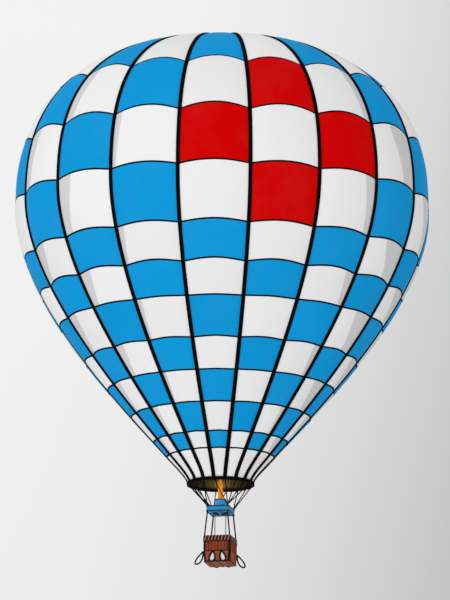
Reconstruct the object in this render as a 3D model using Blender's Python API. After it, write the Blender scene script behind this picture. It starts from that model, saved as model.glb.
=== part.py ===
# Hot air balloon: chequered envelope, burner on a gimbal, wicker basket.
# Metres, +Z up. The origin is the centre of the envelope's widest ring.
# The basket's front faces -Y. Angles round the envelope start there and turn towards +X.
import math

import bmesh
import bpy
import numpy as np

# Envelope
GORES = 18                      # even, so that the chequers meet all the way round
EQUATOR_RADIUS = 8.5
CROWN_HEIGHT = 7.15             # above the widest ring
CROWN_FULLNESS = 2.4            # exponent of the crown's curve, 2 is an ellipse
MOUTH_RADIUS = 1.37
MOUTH_Z = -11.46
CONE_TOP_PULL = 4.6             # the lower curve leaves the widest ring downwards this far
MOUTH_PULL = (0.14, 0.80)       # and reaches the mouth from this far out and up
GORE_STEP = 2 * math.pi / GORES
GORE_FACETS = 3                 # facets across a gore between its tapes
GORE_BULGE = 0.10               # each gore stands out between its tapes at the widest ring
SHOULDER_PART = 0.58            # panel seams, as parts of the way from vent to widest ring
FLANK_PART = 0.36               # and from there to the skirt
WALL = 0.010
SKIRT_TOP_RADIUS = 2.30         # the white heat resistant skirt starts here
VENT_RADIUS = 2.20              # hole in the crown, closed by the parachute valve
GAP = 0.0003                    # between pieces that touch

# Tapes and crown ring
TAPE_WIDTH = 0.15
TAPE_THICKNESS = 0.012
CROWN_RING_BORE = 0.55          # of its outer radius
VENT_RING_RADII = (0.30, 1.3)   # the crown ring's edge, and a row across the vent

# Parachute valve
VALVE_OVERLAP = 0.28            # the valve reaches past the vent's edge
VALVE_SEAT = 0.0008

# Mouth band and flying wires
BAND_HEIGHT = 0.12
BAND_THICKNESS = 0.03
WIRE_DIAMETER = 0.034
WIRE_LUG_RADIUS = 0.045

# Burner load frame
FRAME_WIDTH = 0.94
FRAME_DEPTH = 1.22
FRAME_TOP_Z = -12.50
FRAME_HEIGHT = 0.21
FRAME_HOLE_RADIUS = 0.305
FRAME_CORNER_RADIUS = 0.06

# Gimbal ring and burner
GIMBAL_Z = -12.59
RING_OUTER_RADIUS = 0.285
RING_INNER_RADIUS = 0.235
RING_HEIGHT = 0.06
PIN_RADIUS = 0.014
PIN_CLEARANCE = 0.0008
PIN_DEPTH = 0.05                # each pin goes this far into its bearing
BLOCK_RADIUS = 0.195
BLOCK_HEIGHT = 0.13
CAN_RADIUS = 0.235
CAN_WALL = 0.006
CAN_HEIGHT = 0.30
CAN_LIFT = 0.075                # neck between block and can, so that the can clears the ring
COIL_RADIUS = 0.17
COIL_TUBE = 0.012
COIL_TURNS = 3

# Basket
BASKET_WIDTH = 1.12
BASKET_DEPTH = 1.30
RIM_TOP_Z = -13.74
RIM_BAND_HEIGHT = 0.25
WICKER_BAND_HEIGHT = 0.40
BASKET_HEIGHT = 1.13
WALL_THICKNESS = 0.030
RIM_STAND_OUT = 0.018           # the padded rim is this much prouder than the wicker
HIDE_STAND_OUT = 0.012
FLOOR_THICKNESS = 0.030
FLOOR_CLEARANCE = 0.0008        # round the floor, inside the woven wall
RUNNER_HEIGHT = 0.035
RUNNER_WIDTH = 0.07
RUNNER_SPACING = 0.36
RUNNER_INSET = 0.05             # runner ends, in from the basket's ends
BASKET_CHAMFER = 0.05           # cut off the woven wall's outer corners
CHAMFER_GROWTH = 2 - math.sqrt(2)  # a band further out has a larger chamfer, by this much

# Uprights, hoses, fuel cylinders, rope loops
UPRIGHT_RADIUS = 0.029
HOSE_RADIUS = 0.016
CYLINDER_RADIUS = 0.15
CYLINDER_HEIGHT = 0.70
LOOP_ROPE_RADIUS = 0.026
LOOP_HEIGHT = 0.44
SIDE_LOOP_HEIGHT = 0.52
LOOP_WIDTH = 0.28
LOOP_SEAT = 0.0238              # a side loop's centre line at its top, out from the hide
LOOP_STAND_OUT = 0.27           # a side loop's foot stands out this far, so that it clears the wall

BLUE = (0.03, 0.30, 0.72)
WHITE = (0.86, 0.86, 0.87)
BLACK = (0.012, 0.012, 0.014)
WICKER = (0.36, 0.15, 0.05)
HIDE = (0.42, 0.13, 0.04)
RIM_HIDE = (0.20, 0.06, 0.03)
STEEL = (0.55, 0.56, 0.58)
WOOD = (0.30, 0.18, 0.08)


def make_material(name, colour, roughness, metallic=0.0):
    material = bpy.data.materials.get(name)
    if material is None:
        material = bpy.data.materials.new(name)
        material.use_nodes = True
        shader = material.node_tree.nodes["Principled BSDF"]
        shader.inputs["Base Color"].default_value = (*colour, 1.0)
        shader.inputs["Roughness"].default_value = roughness
        shader.inputs["Metallic"].default_value = metallic
    return material


def add_object(name, bm, colour, roughness=0.7, metallic=0.0, smooth=40):
    """Turn a closed bmesh into a named object with its own material."""
    bmesh.ops.recalc_face_normals(bm, faces=bm.faces)
    mesh = bpy.data.meshes.new(name)
    bm.to_mesh(mesh)
    bm.free()
    mesh.shade_smooth()
    mesh.set_sharp_from_angle(angle=math.radians(smooth))
    piece = bpy.data.objects.new(name, mesh)
    piece.data.materials.append(make_material(name + "_finish", colour, roughness, metallic))
    bpy.context.collection.objects.link(piece)
    return piece


def skin(bm, points, close_u=False, close_v=False):
    """Face a grid of points[u][v]; returns the bmesh vertices as the same grid."""
    rows, columns = points.shape[:2]
    verts = [[bm.verts.new(points[u, v]) for v in range(columns)] for u in range(rows)]
    for u in range(rows - (0 if close_u else 1)):
        for v in range(columns - (0 if close_v else 1)):
            u2 = (u + 1) % rows
            v2 = (v + 1) % columns
            bm.faces.new((verts[u][v], verts[u2][v], verts[u2][v2], verts[u][v2]))
    return verts


def envelope_profile():
    """Points (radius, z, outward radial, outward z) from the crown's centre to the mouth."""
    fine = 600
    fall = np.linspace(0.0, 1.0, fine)
    angle = fall * math.pi / 2
    power = 2.0 / CROWN_FULLNESS
    upper_r = EQUATOR_RADIUS * np.sin(angle) ** power
    upper_z = CROWN_HEIGHT * np.abs(np.cos(angle)) ** power
    start = np.array([EQUATOR_RADIUS, 0.0])
    leave = np.array([EQUATOR_RADIUS, -CONE_TOP_PULL])
    end = np.array([MOUTH_RADIUS, MOUTH_Z])
    arrive = end + np.array(MOUTH_PULL)
    t = fall[1:, None]
    lower = ((1 - t) ** 3 * start + 3 * (1 - t) ** 2 * t * leave
             + 3 * (1 - t) * t ** 2 * arrive + t ** 3 * end)
    upper_z[-1] = 0.0
    r = np.concatenate([upper_r, lower[:, 0]])
    z = np.concatenate([upper_z, lower[:, 1]])
    length = np.concatenate([[0.0], np.cumsum(np.hypot(np.diff(r), np.diff(z)))])
    dr = np.gradient(r, length)
    dz = np.gradient(z, length)
    size = np.hypot(dr, dz)
    return length, r, z, -dz / size, dr / size


PROFILE = envelope_profile()


def length_at_radius(radius, below=False):
    """Length along the profile at a radius, on the crown or on the lower cone."""
    length, r, z = PROFILE[:3]
    widest = int(np.argmax(r))
    if below:
        return float(np.interp(-radius, -r[widest:], length[widest:]))
    return float(np.interp(radius, r[:widest], length[:widest]))


def make_rows():
    """Row lengths of each band of wall panels, and of the skirt down to the mouth."""
    vent = length_at_radius(VENT_RADIUS)
    widest = float(PROFILE[0][int(np.argmax(PROFILE[1]))])
    skirt_top = length_at_radius(SKIRT_TOP_RADIUS, below=True)
    mouth = float(PROFILE[0][-1])
    shoulder = vent + SHOULDER_PART * (widest - vent)
    flank = widest + FLANK_PART * (skirt_top - widest)
    # band name, its rows, the colours of its odd and even quarters
    bands = (
        ("crown", np.linspace(vent, shoulder, 5), (BLUE, WHITE)),
        ("belly", np.linspace(shoulder, flank, 7), (WHITE, BLUE)),
        ("cone", np.linspace(flank, skirt_top, 5), (BLUE, WHITE)),
    )
    middle = (skirt_top + mouth) / 2
    return bands, (skirt_top, middle, mouth - BAND_HEIGHT, mouth)


BANDS, SKIRT_ROWS = make_rows()


def envelope_rows(lengths, lift=0.0):
    """Rings of points on the envelope at some lengths from the crown, lifted along the normal.

    Each gore has GORE_FACETS + 1 points, from one tape's edge to the next tape's, and the strip
    under a tape is flat between the last point of one gore and the first of the next.
    """
    table, r_table, z_table, nr_table, nz_table = PROFILE
    lengths = np.asarray(lengths, dtype=float)
    r = np.interp(lengths, table, r_table)[:, None, None]
    z = np.interp(lengths, table, z_table)[:, None, None]
    nr = np.interp(lengths, table, nr_table)[:, None, None]
    nz = np.interp(lengths, table, nz_table)[:, None, None]
    half_tape = np.minimum(TAPE_WIDTH / 2 / r, GORE_STEP * 0.47)
    part = np.arange(GORE_FACETS + 1)[None, None, :] / GORE_FACETS
    gore = np.arange(GORES)[None, :, None]
    turn = gore * GORE_STEP + half_tape + part * (GORE_STEP - 2 * half_tape)
    rise = lift + GORE_BULGE * np.sin(math.pi * part) ** 2 * r / EQUATOR_RADIUS
    radius = r + nr * rise
    points = np.stack([radius * np.sin(turn), -radius * np.cos(turn), z + nz * rise + 0 * turn],
                      axis=-1)
    return points.reshape(len(lengths), GORES * (GORE_FACETS + 1), 3)


def between_tapes(rings, first, count):
    """The columns from the middle of one tape to the middle of another, a gap short of both."""
    per_gore = GORE_FACETS + 1
    columns = np.arange(first * per_gore - 1, (first + count) * per_gore + 1)
    part = rings[:, columns % rings.shape[1]].copy()
    for end, inside in ((0, 1), (-1, -2)):
        strip = part[:, inside] - part[:, end]
        wide = np.linalg.norm(strip, axis=1)[:, None]
        part[:, end] = part[:, inside] - strip * (0.5 - GAP / 2 / wide)
    return part


def shell_patch(name, rows, first, count, colour):
    """A curved wall panel through some rows and over some gores."""
    bm = bmesh.new()
    rows = np.array(rows, dtype=float)
    rows[0] += GAP / 2
    rows[-1] -= GAP / 2
    whole = count == GORES
    outer = envelope_rows(rows)
    inner = envelope_rows(rows, -WALL)
    if not whole:
        outer = between_tapes(outer, first, count)
        inner = between_tapes(inner, first, count)
    outer = skin(bm, outer, close_v=whole)
    inner = skin(bm, inner, close_v=whole)
    join_skins(bm, outer, inner, whole)
    return add_object(name, bm, colour, 0.75)


def join_skins(bm, outer, inner, ring):
    """Close the edges between two skins of the same grid."""
    rows = len(outer)
    columns = len(outer[0])
    for row in (0, rows - 1):
        for v in range(columns - (0 if ring else 1)):
            v2 = (v + 1) % columns
            bm.faces.new((outer[row][v], outer[row][v2], inner[row][v2], inner[row][v]))
    if not ring:
        for column in (0, columns - 1):
            for u in range(rows - 1):
                bm.faces.new((outer[u][column], outer[u + 1][column],
                              inner[u + 1][column], inner[u][column]))


def turned(bm, profile, segments, centre=(0.0, 0.0, 0.0)):
    """Turn a closed outline of (radius, z) points round the vertical axis."""
    turns = np.arange(segments) * 2 * math.pi / segments
    outline = np.array(profile)
    r = outline[:, 0][:, None]
    points = np.stack([centre[0] + r * np.sin(turns), centre[1] - r * np.cos(turns),
                       centre[2] + outline[:, 1][:, None] + 0 * turns], axis=-1)
    return skin(bm, points, close_u=True, close_v=True)


def disc_stack(bm, profile, segments, centre=(0.0, 0.0, 0.0)):
    """Turn an open outline of (radius, z) points, capped flat at both ends."""
    turns = np.arange(segments) * 2 * math.pi / segments
    outline = np.array(profile)
    r = outline[:, 0][:, None]
    points = np.stack([centre[0] + r * np.sin(turns), centre[1] - r * np.cos(turns),
                       centre[2] + outline[:, 1][:, None] + 0 * turns], axis=-1)
    verts = skin(bm, points, close_v=True)
    bm.faces.new(verts[0])
    bm.faces.new(verts[-1])
    return verts


def rod(bm, start, end, radius, sides=10, level_ends=False):
    """A straight rod; level ends are cut flat and horizontal."""
    start = np.array(start, dtype=float)
    end = np.array(end, dtype=float)
    along = (end - start) / np.linalg.norm(end - start)
    if level_ends:
        first = np.array([1.0, 0.0, 0.0])
        second = np.array([0.0, 1.0, 0.0])
    else:
        helper = np.array([0.0, 0.0, 1.0]) if abs(along[2]) < 0.9 else np.array([1.0, 0.0, 0.0])
        first = np.cross(along, helper)
        first /= np.linalg.norm(first)
        second = np.cross(along, first)
    turns = np.arange(sides) * 2 * math.pi / sides
    ring = radius * (np.cos(turns)[:, None] * first + np.sin(turns)[:, None] * second)
    verts = skin(bm, np.stack([start + ring, end + ring]), close_v=True)
    bm.faces.new(verts[0])
    bm.faces.new(verts[1])


def tube_along(bm, points, radius, sides, closed):
    """A round tube along points, each section square to the path."""
    points = np.array(points)
    if closed:
        ahead = np.roll(points, -1, axis=0) - np.roll(points, 1, axis=0)
    else:
        ahead = np.gradient(points, axis=0)
    ahead /= np.linalg.norm(ahead, axis=1)[:, None]
    normal = np.cross(ahead[0], ahead[len(points) // 3])
    normal /= np.linalg.norm(normal)
    side = np.cross(ahead, normal)
    side /= np.linalg.norm(side, axis=1)[:, None]
    up = np.cross(side, ahead)
    turns = np.arange(sides) * 2 * math.pi / sides
    rings = (points[:, None, :] + radius * (np.cos(turns)[None, :, None] * side[:, None, :]
                                            + np.sin(turns)[None, :, None] * up[:, None, :]))
    verts = skin(bm, rings, close_u=closed, close_v=True)
    if not closed:
        bm.faces.new(verts[0])
        bm.faces.new(verts[-1])


def box(bm, low, high):
    """An upright box between two corners."""
    corners = [bm.verts.new((x, y, z)) for z in (low[2], high[2])
               for x, y in ((low[0], low[1]), (high[0], low[1]), (high[0], high[1]), (low[0], high[1]))]
    for face in ((0, 1, 2, 3), (4, 5, 6, 7), (0, 1, 5, 4), (1, 2, 6, 5), (2, 3, 7, 6), (3, 0, 4, 7)):
        bm.faces.new([corners[i] for i in face])


def combine(target, others, operation="UNION"):
    """Boolean the other objects into the target and take them away."""
    for other in others:
        modifier = target.modifiers.new("combine", "BOOLEAN")
        modifier.operation = operation
        modifier.solver = "EXACT"
        modifier.object = other
    bpy.context.view_layer.update()
    depsgraph = bpy.context.evaluated_depsgraph_get()
    mesh = bpy.data.meshes.new_from_object(target.evaluated_get(depsgraph))
    target.modifiers.clear()
    target.data = mesh
    for other in others:
        bpy.data.objects.remove(other)
    return target


def make_envelope():
    """Wall panels in quarters and bands, with the white skirt below them."""
    # quarter name, first gore, number of gores
    quarters = (("a", 0, 5), ("b", 5, 4), ("c", 9, 5), ("d", 14, 4))
    for band, rows, colours in BANDS:
        for index, (quarter, first, count) in enumerate(quarters):
            shell_patch(f"envelope_{band}_{quarter}", rows, first, count, colours[index % 2])
    shell_patch("envelope_skirt", SKIRT_ROWS, 0, GORES, WHITE)


def make_tapes():
    """Load tapes from the crown ring down every seam between gores, as one cage."""
    bm = bmesh.new()
    lengths = [length_at_radius(radius) for radius in VENT_RING_RADII]
    lengths += sorted({row for _, rows, _ in BANDS for row in rows} | {SKIRT_ROWS[1]})
    lengths.append(SKIRT_ROWS[-2] - 2 * GAP)
    low = envelope_rows(lengths, GAP)
    high = envelope_rows(lengths, GAP + TAPE_THICKNESS)
    per_gore = GORE_FACETS + 1
    tops = []
    for tape in range(GORES):
        left = tape * per_gore - 1
        right = tape * per_gore
        grid = np.stack([low[:, left], high[:, left], high[:, right], low[:, right]], axis=1)
        verts = skin(bm, grid, close_v=True)
        bm.faces.new(verts[-1])
        tops.append(verts[0])
    # the tapes' upper ends are joined round by a flat collar, the crown ring
    outline_low = []
    outline_high = []
    for tape, (low_left, high_left, high_right, low_right) in enumerate(tops):
        after = tops[(tape + 1) % GORES]
        bm.faces.new((high_right, low_right, after[0], after[1]))
        outline_low += [low_left, low_right]
        outline_high += [high_left, high_right]
    rings = []
    for outline in (outline_low, outline_high):
        rings.append([bm.verts.new((v.co.x * CROWN_RING_BORE, v.co.y * CROWN_RING_BORE, v.co.z))
                      for v in outline])
    count = len(outline_low)
    for i in range(count):
        j = (i + 1) % count
        bm.faces.new((outline_low[i], outline_low[j], rings[0][j], rings[0][i]))
        bm.faces.new((outline_high[i], outline_high[j], rings[1][j], rings[1][i]))
        bm.faces.new((rings[0][i], rings[0][j], rings[1][j], rings[1][i]))
    add_object("load_tapes", bm, BLACK, 0.8)


def make_valve():
    """Parachute valve: a dished panel under the vent, its edge against the crown's inside."""
    bm = bmesh.new()
    first, second = BANDS[0][1][:2]
    overlap = VALVE_OVERLAP / (second - first)
    lengths = [length_at_radius(radius) for radius in VENT_RING_RADII] + [first, second]
    skins = []
    for lift in (-WALL - VALVE_SEAT, -2 * WALL - VALVE_SEAT):
        rings = envelope_rows(lengths, lift)
        rings[-1] = rings[-2] + overlap * (rings[-1] - rings[-2])
        skins.append(skin(bm, rings, close_v=True))
    top, low = skins
    count = len(top[0])
    for v in range(count):
        v2 = (v + 1) % count
        bm.faces.new((top[-1][v], top[-1][v2], low[-1][v2], low[-1][v]))
    bm.faces.new(top[0])
    bm.faces.new(low[0])
    add_object("parachute_valve", bm, WHITE, 0.75)


def make_mouth_band():
    """Black band round the mouth, over the skirt's lower edge."""
    bm = bmesh.new()
    rows = SKIRT_ROWS[-2:]
    outer = skin(bm, envelope_rows(rows, GAP + BAND_THICKNESS), close_v=True)
    inner = skin(bm, envelope_rows(rows, GAP), close_v=True)
    join_skins(bm, outer, inner, True)
    add_object("mouth_band", bm, BLACK, 0.8)


# corner name, x side, y side, the tapes whose wires it takes
CORNERS = (
    ("front_right", 1, -1, (0, 1, 2, 3, 4)),
    ("back_right", 1, 1, (5, 6, 7, 8)),
    ("back_left", -1, 1, (9, 10, 11, 12, 13)),
    ("front_left", -1, -1, (14, 15, 16, 17)),
)


def wire_lug(side_x, side_y):
    """Where a corner's flying wires meet, on top of the load frame."""
    return np.array([side_x * (FRAME_WIDTH / 2 - WIRE_LUG_RADIUS),
                     side_y * (FRAME_DEPTH / 2 - WIRE_LUG_RADIUS),
                     FRAME_TOP_Z + GAP])


def make_flying_wires():
    """One group of wires for each corner of the load frame."""
    r, z, normal_r, normal_z = (column[-1] for column in PROFILE[1:])
    mouth_r = r + normal_r * (GAP + BAND_THICKNESS / 2)
    end_z = z + normal_z * (GAP + BAND_THICKNESS) - GAP
    for corner, side_x, side_y, tapes in CORNERS:
        lug = wire_lug(side_x, side_y)
        bm = bmesh.new()
        disc_stack(bm, [(WIRE_LUG_RADIUS, 0.0), (WIRE_LUG_RADIUS, 0.05), (0.03, 0.085)], 12, lug)
        group = add_object("flying_wires_" + corner, bm, BLACK, 0.5, 0.2)
        rods = []
        for index, tape in enumerate(tapes):
            turn = tape * GORE_STEP
            top = (mouth_r * math.sin(turn), -mouth_r * math.cos(turn), end_z)
            bm = bmesh.new()
            foot = lug + np.array([0.0, 0.0, 0.012 + 0.007 * index])
            rod(bm, foot, top, WIRE_DIAMETER / 2, 6, level_ends=True)
            rods.append(add_object("wire", bm, BLACK))
        combine(group, rods)


def rounded_rectangle(width, depth, corner, corner_steps=3):
    """Outline points of a rectangle with round corners, anticlockwise from above."""
    points = []
    for side_x, side_y, start in ((1, 1, 0), (-1, 1, 90), (-1, -1, 180), (1, -1, 270)):
        for i in range(corner_steps + 1):
            a = math.radians(start + 90 * i / corner_steps)
            points.append((side_x * (width / 2 - corner) + corner * math.cos(a),
                           side_y * (depth / 2 - corner) + corner * math.sin(a)))
    return points


def prism(bm, outline, low, high):
    """An upright prism over an outline."""
    rings = np.array([[(x, y, z) for x, y in outline] for z in (low, high)])
    verts = skin(bm, rings, close_v=True)
    bm.faces.new(verts[0])
    bm.faces.new(verts[1])


def make_load_frame():
    """Blue load frame with a round opening for the gimbal and blind bearings for its pins."""
    bm = bmesh.new()
    outline = rounded_rectangle(FRAME_WIDTH, FRAME_DEPTH, FRAME_CORNER_RADIUS)
    prism(bm, outline, FRAME_TOP_Z - FRAME_HEIGHT, FRAME_TOP_Z)
    frame = add_object("burner_load_frame", bm, BLUE, 0.4)
    cutters = []
    bm = bmesh.new()
    disc_stack(bm, [(FRAME_HOLE_RADIUS, -FRAME_HEIGHT), (FRAME_HOLE_RADIUS, FRAME_HEIGHT)], 36,
               (0, 0, GIMBAL_Z))
    cutters.append(add_object("hole", bm, BLUE))
    for side in (-1, 1):
        bm = bmesh.new()
        rod(bm, (side * 0.2, 0, GIMBAL_Z),
            (side * (FRAME_HOLE_RADIUS + PIN_DEPTH + PIN_CLEARANCE), 0, GIMBAL_Z),
            PIN_RADIUS + PIN_CLEARANCE, 24)
        cutters.append(add_object("bearing", bm, BLUE))
    combine(frame, cutters, "DIFFERENCE")


def make_gimbal_ring():
    """Ring that tilts about X in the frame and carries the burner's pins along Y."""
    bm = bmesh.new()
    half = RING_HEIGHT / 2
    turned(bm, [(RING_INNER_RADIUS, -half), (RING_OUTER_RADIUS, -half),
                (RING_OUTER_RADIUS, half), (RING_INNER_RADIUS, half)], 36, (0, 0, GIMBAL_Z))
    ring = add_object("gimbal_ring", bm, BLACK, 0.4, 0.6)
    pins = []
    for side in (-1, 1):
        bm = bmesh.new()
        rod(bm, (side * (RING_OUTER_RADIUS - 0.02), 0, GIMBAL_Z),
            (side * (FRAME_HOLE_RADIUS + PIN_DEPTH), 0, GIMBAL_Z), PIN_RADIUS, 16)
        pins.append(add_object("pin", bm, BLACK))
    combine(ring, pins)
    bearings = []
    for side in (-1, 1):
        bm = bmesh.new()
        rod(bm, (0, side * 0.2, GIMBAL_Z), (0, side * 0.32, GIMBAL_Z), PIN_RADIUS + PIN_CLEARANCE, 24)
        bearings.append(add_object("bearing", bm, BLACK))
    combine(ring, bearings, "DIFFERENCE")


def make_burner():
    """Burner block on pins along Y, the can above it, its coil, jet and blast valve."""
    top = GIMBAL_Z + BLOCK_HEIGHT / 2
    bm = bmesh.new()
    disc_stack(bm, [(BLOCK_RADIUS * 0.8, -BLOCK_HEIGHT / 2 - 0.02), (BLOCK_RADIUS, -BLOCK_HEIGHT / 2),
                    (BLOCK_RADIUS, BLOCK_HEIGHT / 2), (BLOCK_RADIUS * 0.6, BLOCK_HEIGHT / 2),
                    (BLOCK_RADIUS * 0.6, BLOCK_HEIGHT / 2 + CAN_LIFT - GAP)], 32, (0, 0, GIMBAL_Z))
    block = add_object("burner_block", bm, BLUE, 0.4)
    pins = []
    for side in (-1, 1):
        bm = bmesh.new()
        rod(bm, (0, side * (BLOCK_RADIUS - 0.02), GIMBAL_Z),
            (0, side * (RING_OUTER_RADIUS - 0.005), GIMBAL_Z), PIN_RADIUS, 16)
        pins.append(add_object("pin", bm, BLUE))
    combine(block, pins)
    base = top + CAN_LIFT
    bm = bmesh.new()
    inner = CAN_RADIUS - CAN_WALL
    disc_stack(bm, [(0.04, CAN_WALL), (inner, CAN_WALL), (inner, CAN_HEIGHT), (CAN_RADIUS, CAN_HEIGHT),
                    (CAN_RADIUS, 0.0), (0.04, 0.0)], 36, (0, 0, base))
    add_object("burner_can", bm, BLUE, 0.4)
    turns = np.linspace(0, COIL_TURNS * 2 * math.pi, COIL_TURNS * 12 + 1)
    low = base + CAN_WALL + GAP + COIL_TUBE * math.sin(math.pi / 3)
    height = low + (CAN_HEIGHT * 0.62) * turns / turns[-1]
    path = np.stack([COIL_RADIUS * np.cos(turns), COIL_RADIUS * np.sin(turns), height], axis=-1)
    bm = bmesh.new()
    tube_along(bm, path, COIL_TUBE, 6, False)
    add_object("burner_coil", bm, STEEL, 0.3, 0.9)
    bm = bmesh.new()
    disc_stack(bm, [(0.075, GAP), (0.075, 0.05), (0.05, 0.09)], 16, (0, 0, base + CAN_WALL))
    add_object("burner_jet", bm, STEEL, 0.35, 0.9)
    under = GIMBAL_Z - BLOCK_HEIGHT / 2 - 0.02 - GAP
    bm = bmesh.new()
    disc_stack(bm, [(0.045, 0.0), (0.045, -0.05), (0.03, -0.075), (0.03, -0.10)], 12, (0, 0, under))
    valve = add_object("blast_valve", bm, STEEL, 0.35, 0.9)
    bm = bmesh.new()
    rod(bm, (0.0, -0.02, under - 0.03), (0.0, -0.20, under - 0.06), 0.011, 8)
    combine(valve, [add_object("lever", bm, STEEL)])


def basket_half(height):
    """Outer half width and half depth of the woven wall at a height above the basket's base."""
    belly = 0.012 * math.sin(math.pi * height / BASKET_HEIGHT)
    taper = -0.028 * (1 - height / BASKET_HEIGHT) ** 2
    return BASKET_WIDTH / 2 + belly + taper, BASKET_DEPTH / 2 + belly + taper


BASE_Z = RIM_TOP_Z - BASKET_HEIGHT
WICKER_LOW = BASKET_HEIGHT - RIM_BAND_HEIGHT - WICKER_BAND_HEIGHT
RIM_LOW = BASKET_HEIGHT - RIM_BAND_HEIGHT

# side name, outward x, outward y
SIDES = (("front", 0, -1), ("right", 1, 0), ("back", 0, 1), ("left", -1, 0))


def wall_outline(side_x, side_y, height):
    """Plan corners of one side's woven wall: chamfered outside, mitred at the basket's corners."""
    half_x, half_y = basket_half(height)
    cut = BASKET_CHAMFER
    # distance along the side, distance out from the middle, both less than the half sizes
    corners = ((cut / 2, cut / 2), (cut, 0.0), (WALL_THICKNESS, WALL_THICKNESS))
    half_along, half_out = (half_x, half_y) if side_y else (half_y, half_x)
    # sign along the side, corner: once round the outline
    path = ((-1, 2), (-1, 0), (-1, 1), (1, 1), (1, 0), (1, 2))
    points = []
    for sign, index in path:
        along, out = corners[index]
        points.append((sign * (half_along - along - GAP / 2), half_out - out))
    if side_y:
        return [(along, side_y * out, BASE_Z + height) for along, out in points]
    return [(side_x * out, along, BASE_Z + height) for along, out in points]


def side_wall(name, side_x, side_y, heights, colour, roughness):
    """One mitred side wall, lofted through its heights."""
    bm = bmesh.new()
    rings = np.array([wall_outline(side_x, side_y, height) for height in heights])
    verts = skin(bm, rings, close_v=True)
    bm.faces.new(verts[0])
    bm.faces.new(verts[-1])
    return add_object(name, bm, colour, roughness)


def wall_ring(name, heights, out, thickness, colour, roughness):
    """A band all round the basket, lofted through its heights."""
    bm = bmesh.new()
    skins = []
    for offset in (out, out - thickness):
        rings = []
        for height in heights:
            half_x, half_y = basket_half(height)
            cut = BASKET_CHAMFER + offset * CHAMFER_GROWTH
            rings.append(rounded_rectangle(2 * (half_x + offset), 2 * (half_y + offset), cut, 1))
        levels = np.array(heights)[:, None, None] + BASE_Z + np.zeros((1, len(rings[0]), 1))
        skins.append(skin(bm, np.concatenate([np.array(rings), levels], axis=2), close_v=True))
    join_skins(bm, skins[0], skins[1], True)
    return add_object(name, bm, colour, roughness)


def make_basket():
    """Woven walls, laced rim, lower hide band, and the floor with its runners."""
    for side, side_x, side_y in SIDES:
        side_wall("basket_wall_" + side, side_x, side_y,
                  (RUNNER_HEIGHT, WICKER_LOW, 0.5 * (WICKER_LOW + RIM_LOW), RIM_LOW - GAP),
                  WICKER, 0.8)
    wall_ring("basket_rim", (RIM_LOW, RIM_LOW + 0.03, BASKET_HEIGHT - 0.03, BASKET_HEIGHT),
              RIM_STAND_OUT, WALL_THICKNESS + 2 * RIM_STAND_OUT, RIM_HIDE, 0.6)
    wall_ring("basket_hide", (RUNNER_HEIGHT, 0.5 * WICKER_LOW, WICKER_LOW),
              HIDE_STAND_OUT + GAP, HIDE_STAND_OUT, HIDE, 0.6)
    floor_top = RUNNER_HEIGHT + FLOOR_THICKNESS
    half_x, half_y = basket_half(RUNNER_HEIGHT)
    inset = WALL_THICKNESS + FLOOR_CLEARANCE
    bm = bmesh.new()
    box(bm, (-half_x + inset, -half_y + inset, BASE_Z + RUNNER_HEIGHT),
        (half_x - inset, half_y - inset, BASE_Z + floor_top))
    floor = add_object("basket_floor", bm, WOOD, 0.7)
    runners = []
    for place in (-RUNNER_SPACING, 0.0, RUNNER_SPACING):
        bm = bmesh.new()
        box(bm, (place - RUNNER_WIDTH / 2, -half_y + RUNNER_INSET, BASE_Z),
            (place + RUNNER_WIDTH / 2, half_y - RUNNER_INSET, BASE_Z + RUNNER_HEIGHT + 0.005))
        runners.append(add_object("runner", bm, WOOD, 0.7))
    combine(floor, runners)


def make_uprights():
    """Four sleeved poles between the load frame and the basket's rim."""
    low_z = RIM_TOP_Z + GAP
    high_z = FRAME_TOP_Z - FRAME_HEIGHT - GAP
    half_x, half_y = basket_half(BASKET_HEIGHT)
    middle = WALL_THICKNESS / 2
    for corner, side_x, side_y, _ in CORNERS:
        bm = bmesh.new()
        rod(bm, (side_x * (half_x - middle - 0.02), side_y * (half_y - middle - 0.02), low_z),
            (side_x * (FRAME_WIDTH / 2 - 0.05), side_y * (FRAME_DEPTH / 2 - 0.05), high_z),
            UPRIGHT_RADIUS, 12, level_ends=True)
        add_object("upright_" + corner, bm, BLACK, 0.7)


def make_fuel():
    """Two fuel cylinders standing in the basket, each with a hose up to the load frame."""
    floor_top = BASE_Z + RUNNER_HEIGHT + FLOOR_THICKNESS + GAP
    for name, side_x, side_y in (("right", 1, -1), ("left", -1, 1)):
        centre = (side_x * (BASKET_WIDTH / 2 - 0.25), side_y * (BASKET_DEPTH / 2 - 0.25), floor_top)
        bm = bmesh.new()
        r = CYLINDER_RADIUS
        h = CYLINDER_HEIGHT
        disc_stack(bm, [(r * 0.75, 0.0), (r * 0.8, 0.03), (r * 0.97, 0.06), (r, 0.11), (r, h - 0.11),
                        (r * 0.88, h - 0.04), (r * 0.5, h), (0.035, h), (0.035, h + 0.07)], 16, centre)
        add_object("fuel_cylinder_" + name, bm, STEEL, 0.35, 0.9)
        valve_top = floor_top + h + 0.07 + GAP
        bm = bmesh.new()
        rod(bm, (centre[0], centre[1], valve_top),
            (side_x * (FRAME_WIDTH / 2 - 0.12), side_y * (FRAME_DEPTH / 2 - 0.07),
             FRAME_TOP_Z - FRAME_HEIGHT - GAP), HOSE_RADIUS, 10, level_ends=True)
        add_object("fuel_hose_" + name, bm, BLACK, 0.6)


def loop_path(anchor, across, out, height, count=16):
    """A teardrop loop hanging from its anchor: narrow at the top, round below."""
    t = np.arange(count) * 2 * math.pi / count
    drop = (1 - np.cos(t)) / 2
    wide = np.sin(t) * np.sin(t / 2) ** 1.2
    anchor = np.array(anchor)
    across = np.array(across, dtype=float)
    half = LOOP_WIDTH / 2 / 0.86
    lean = np.array(out, dtype=float)
    return (anchor + np.outer(wide * half, across) + np.outer(-drop * height, (0, 0, 1))
            + np.outer(drop, lean))


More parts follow.
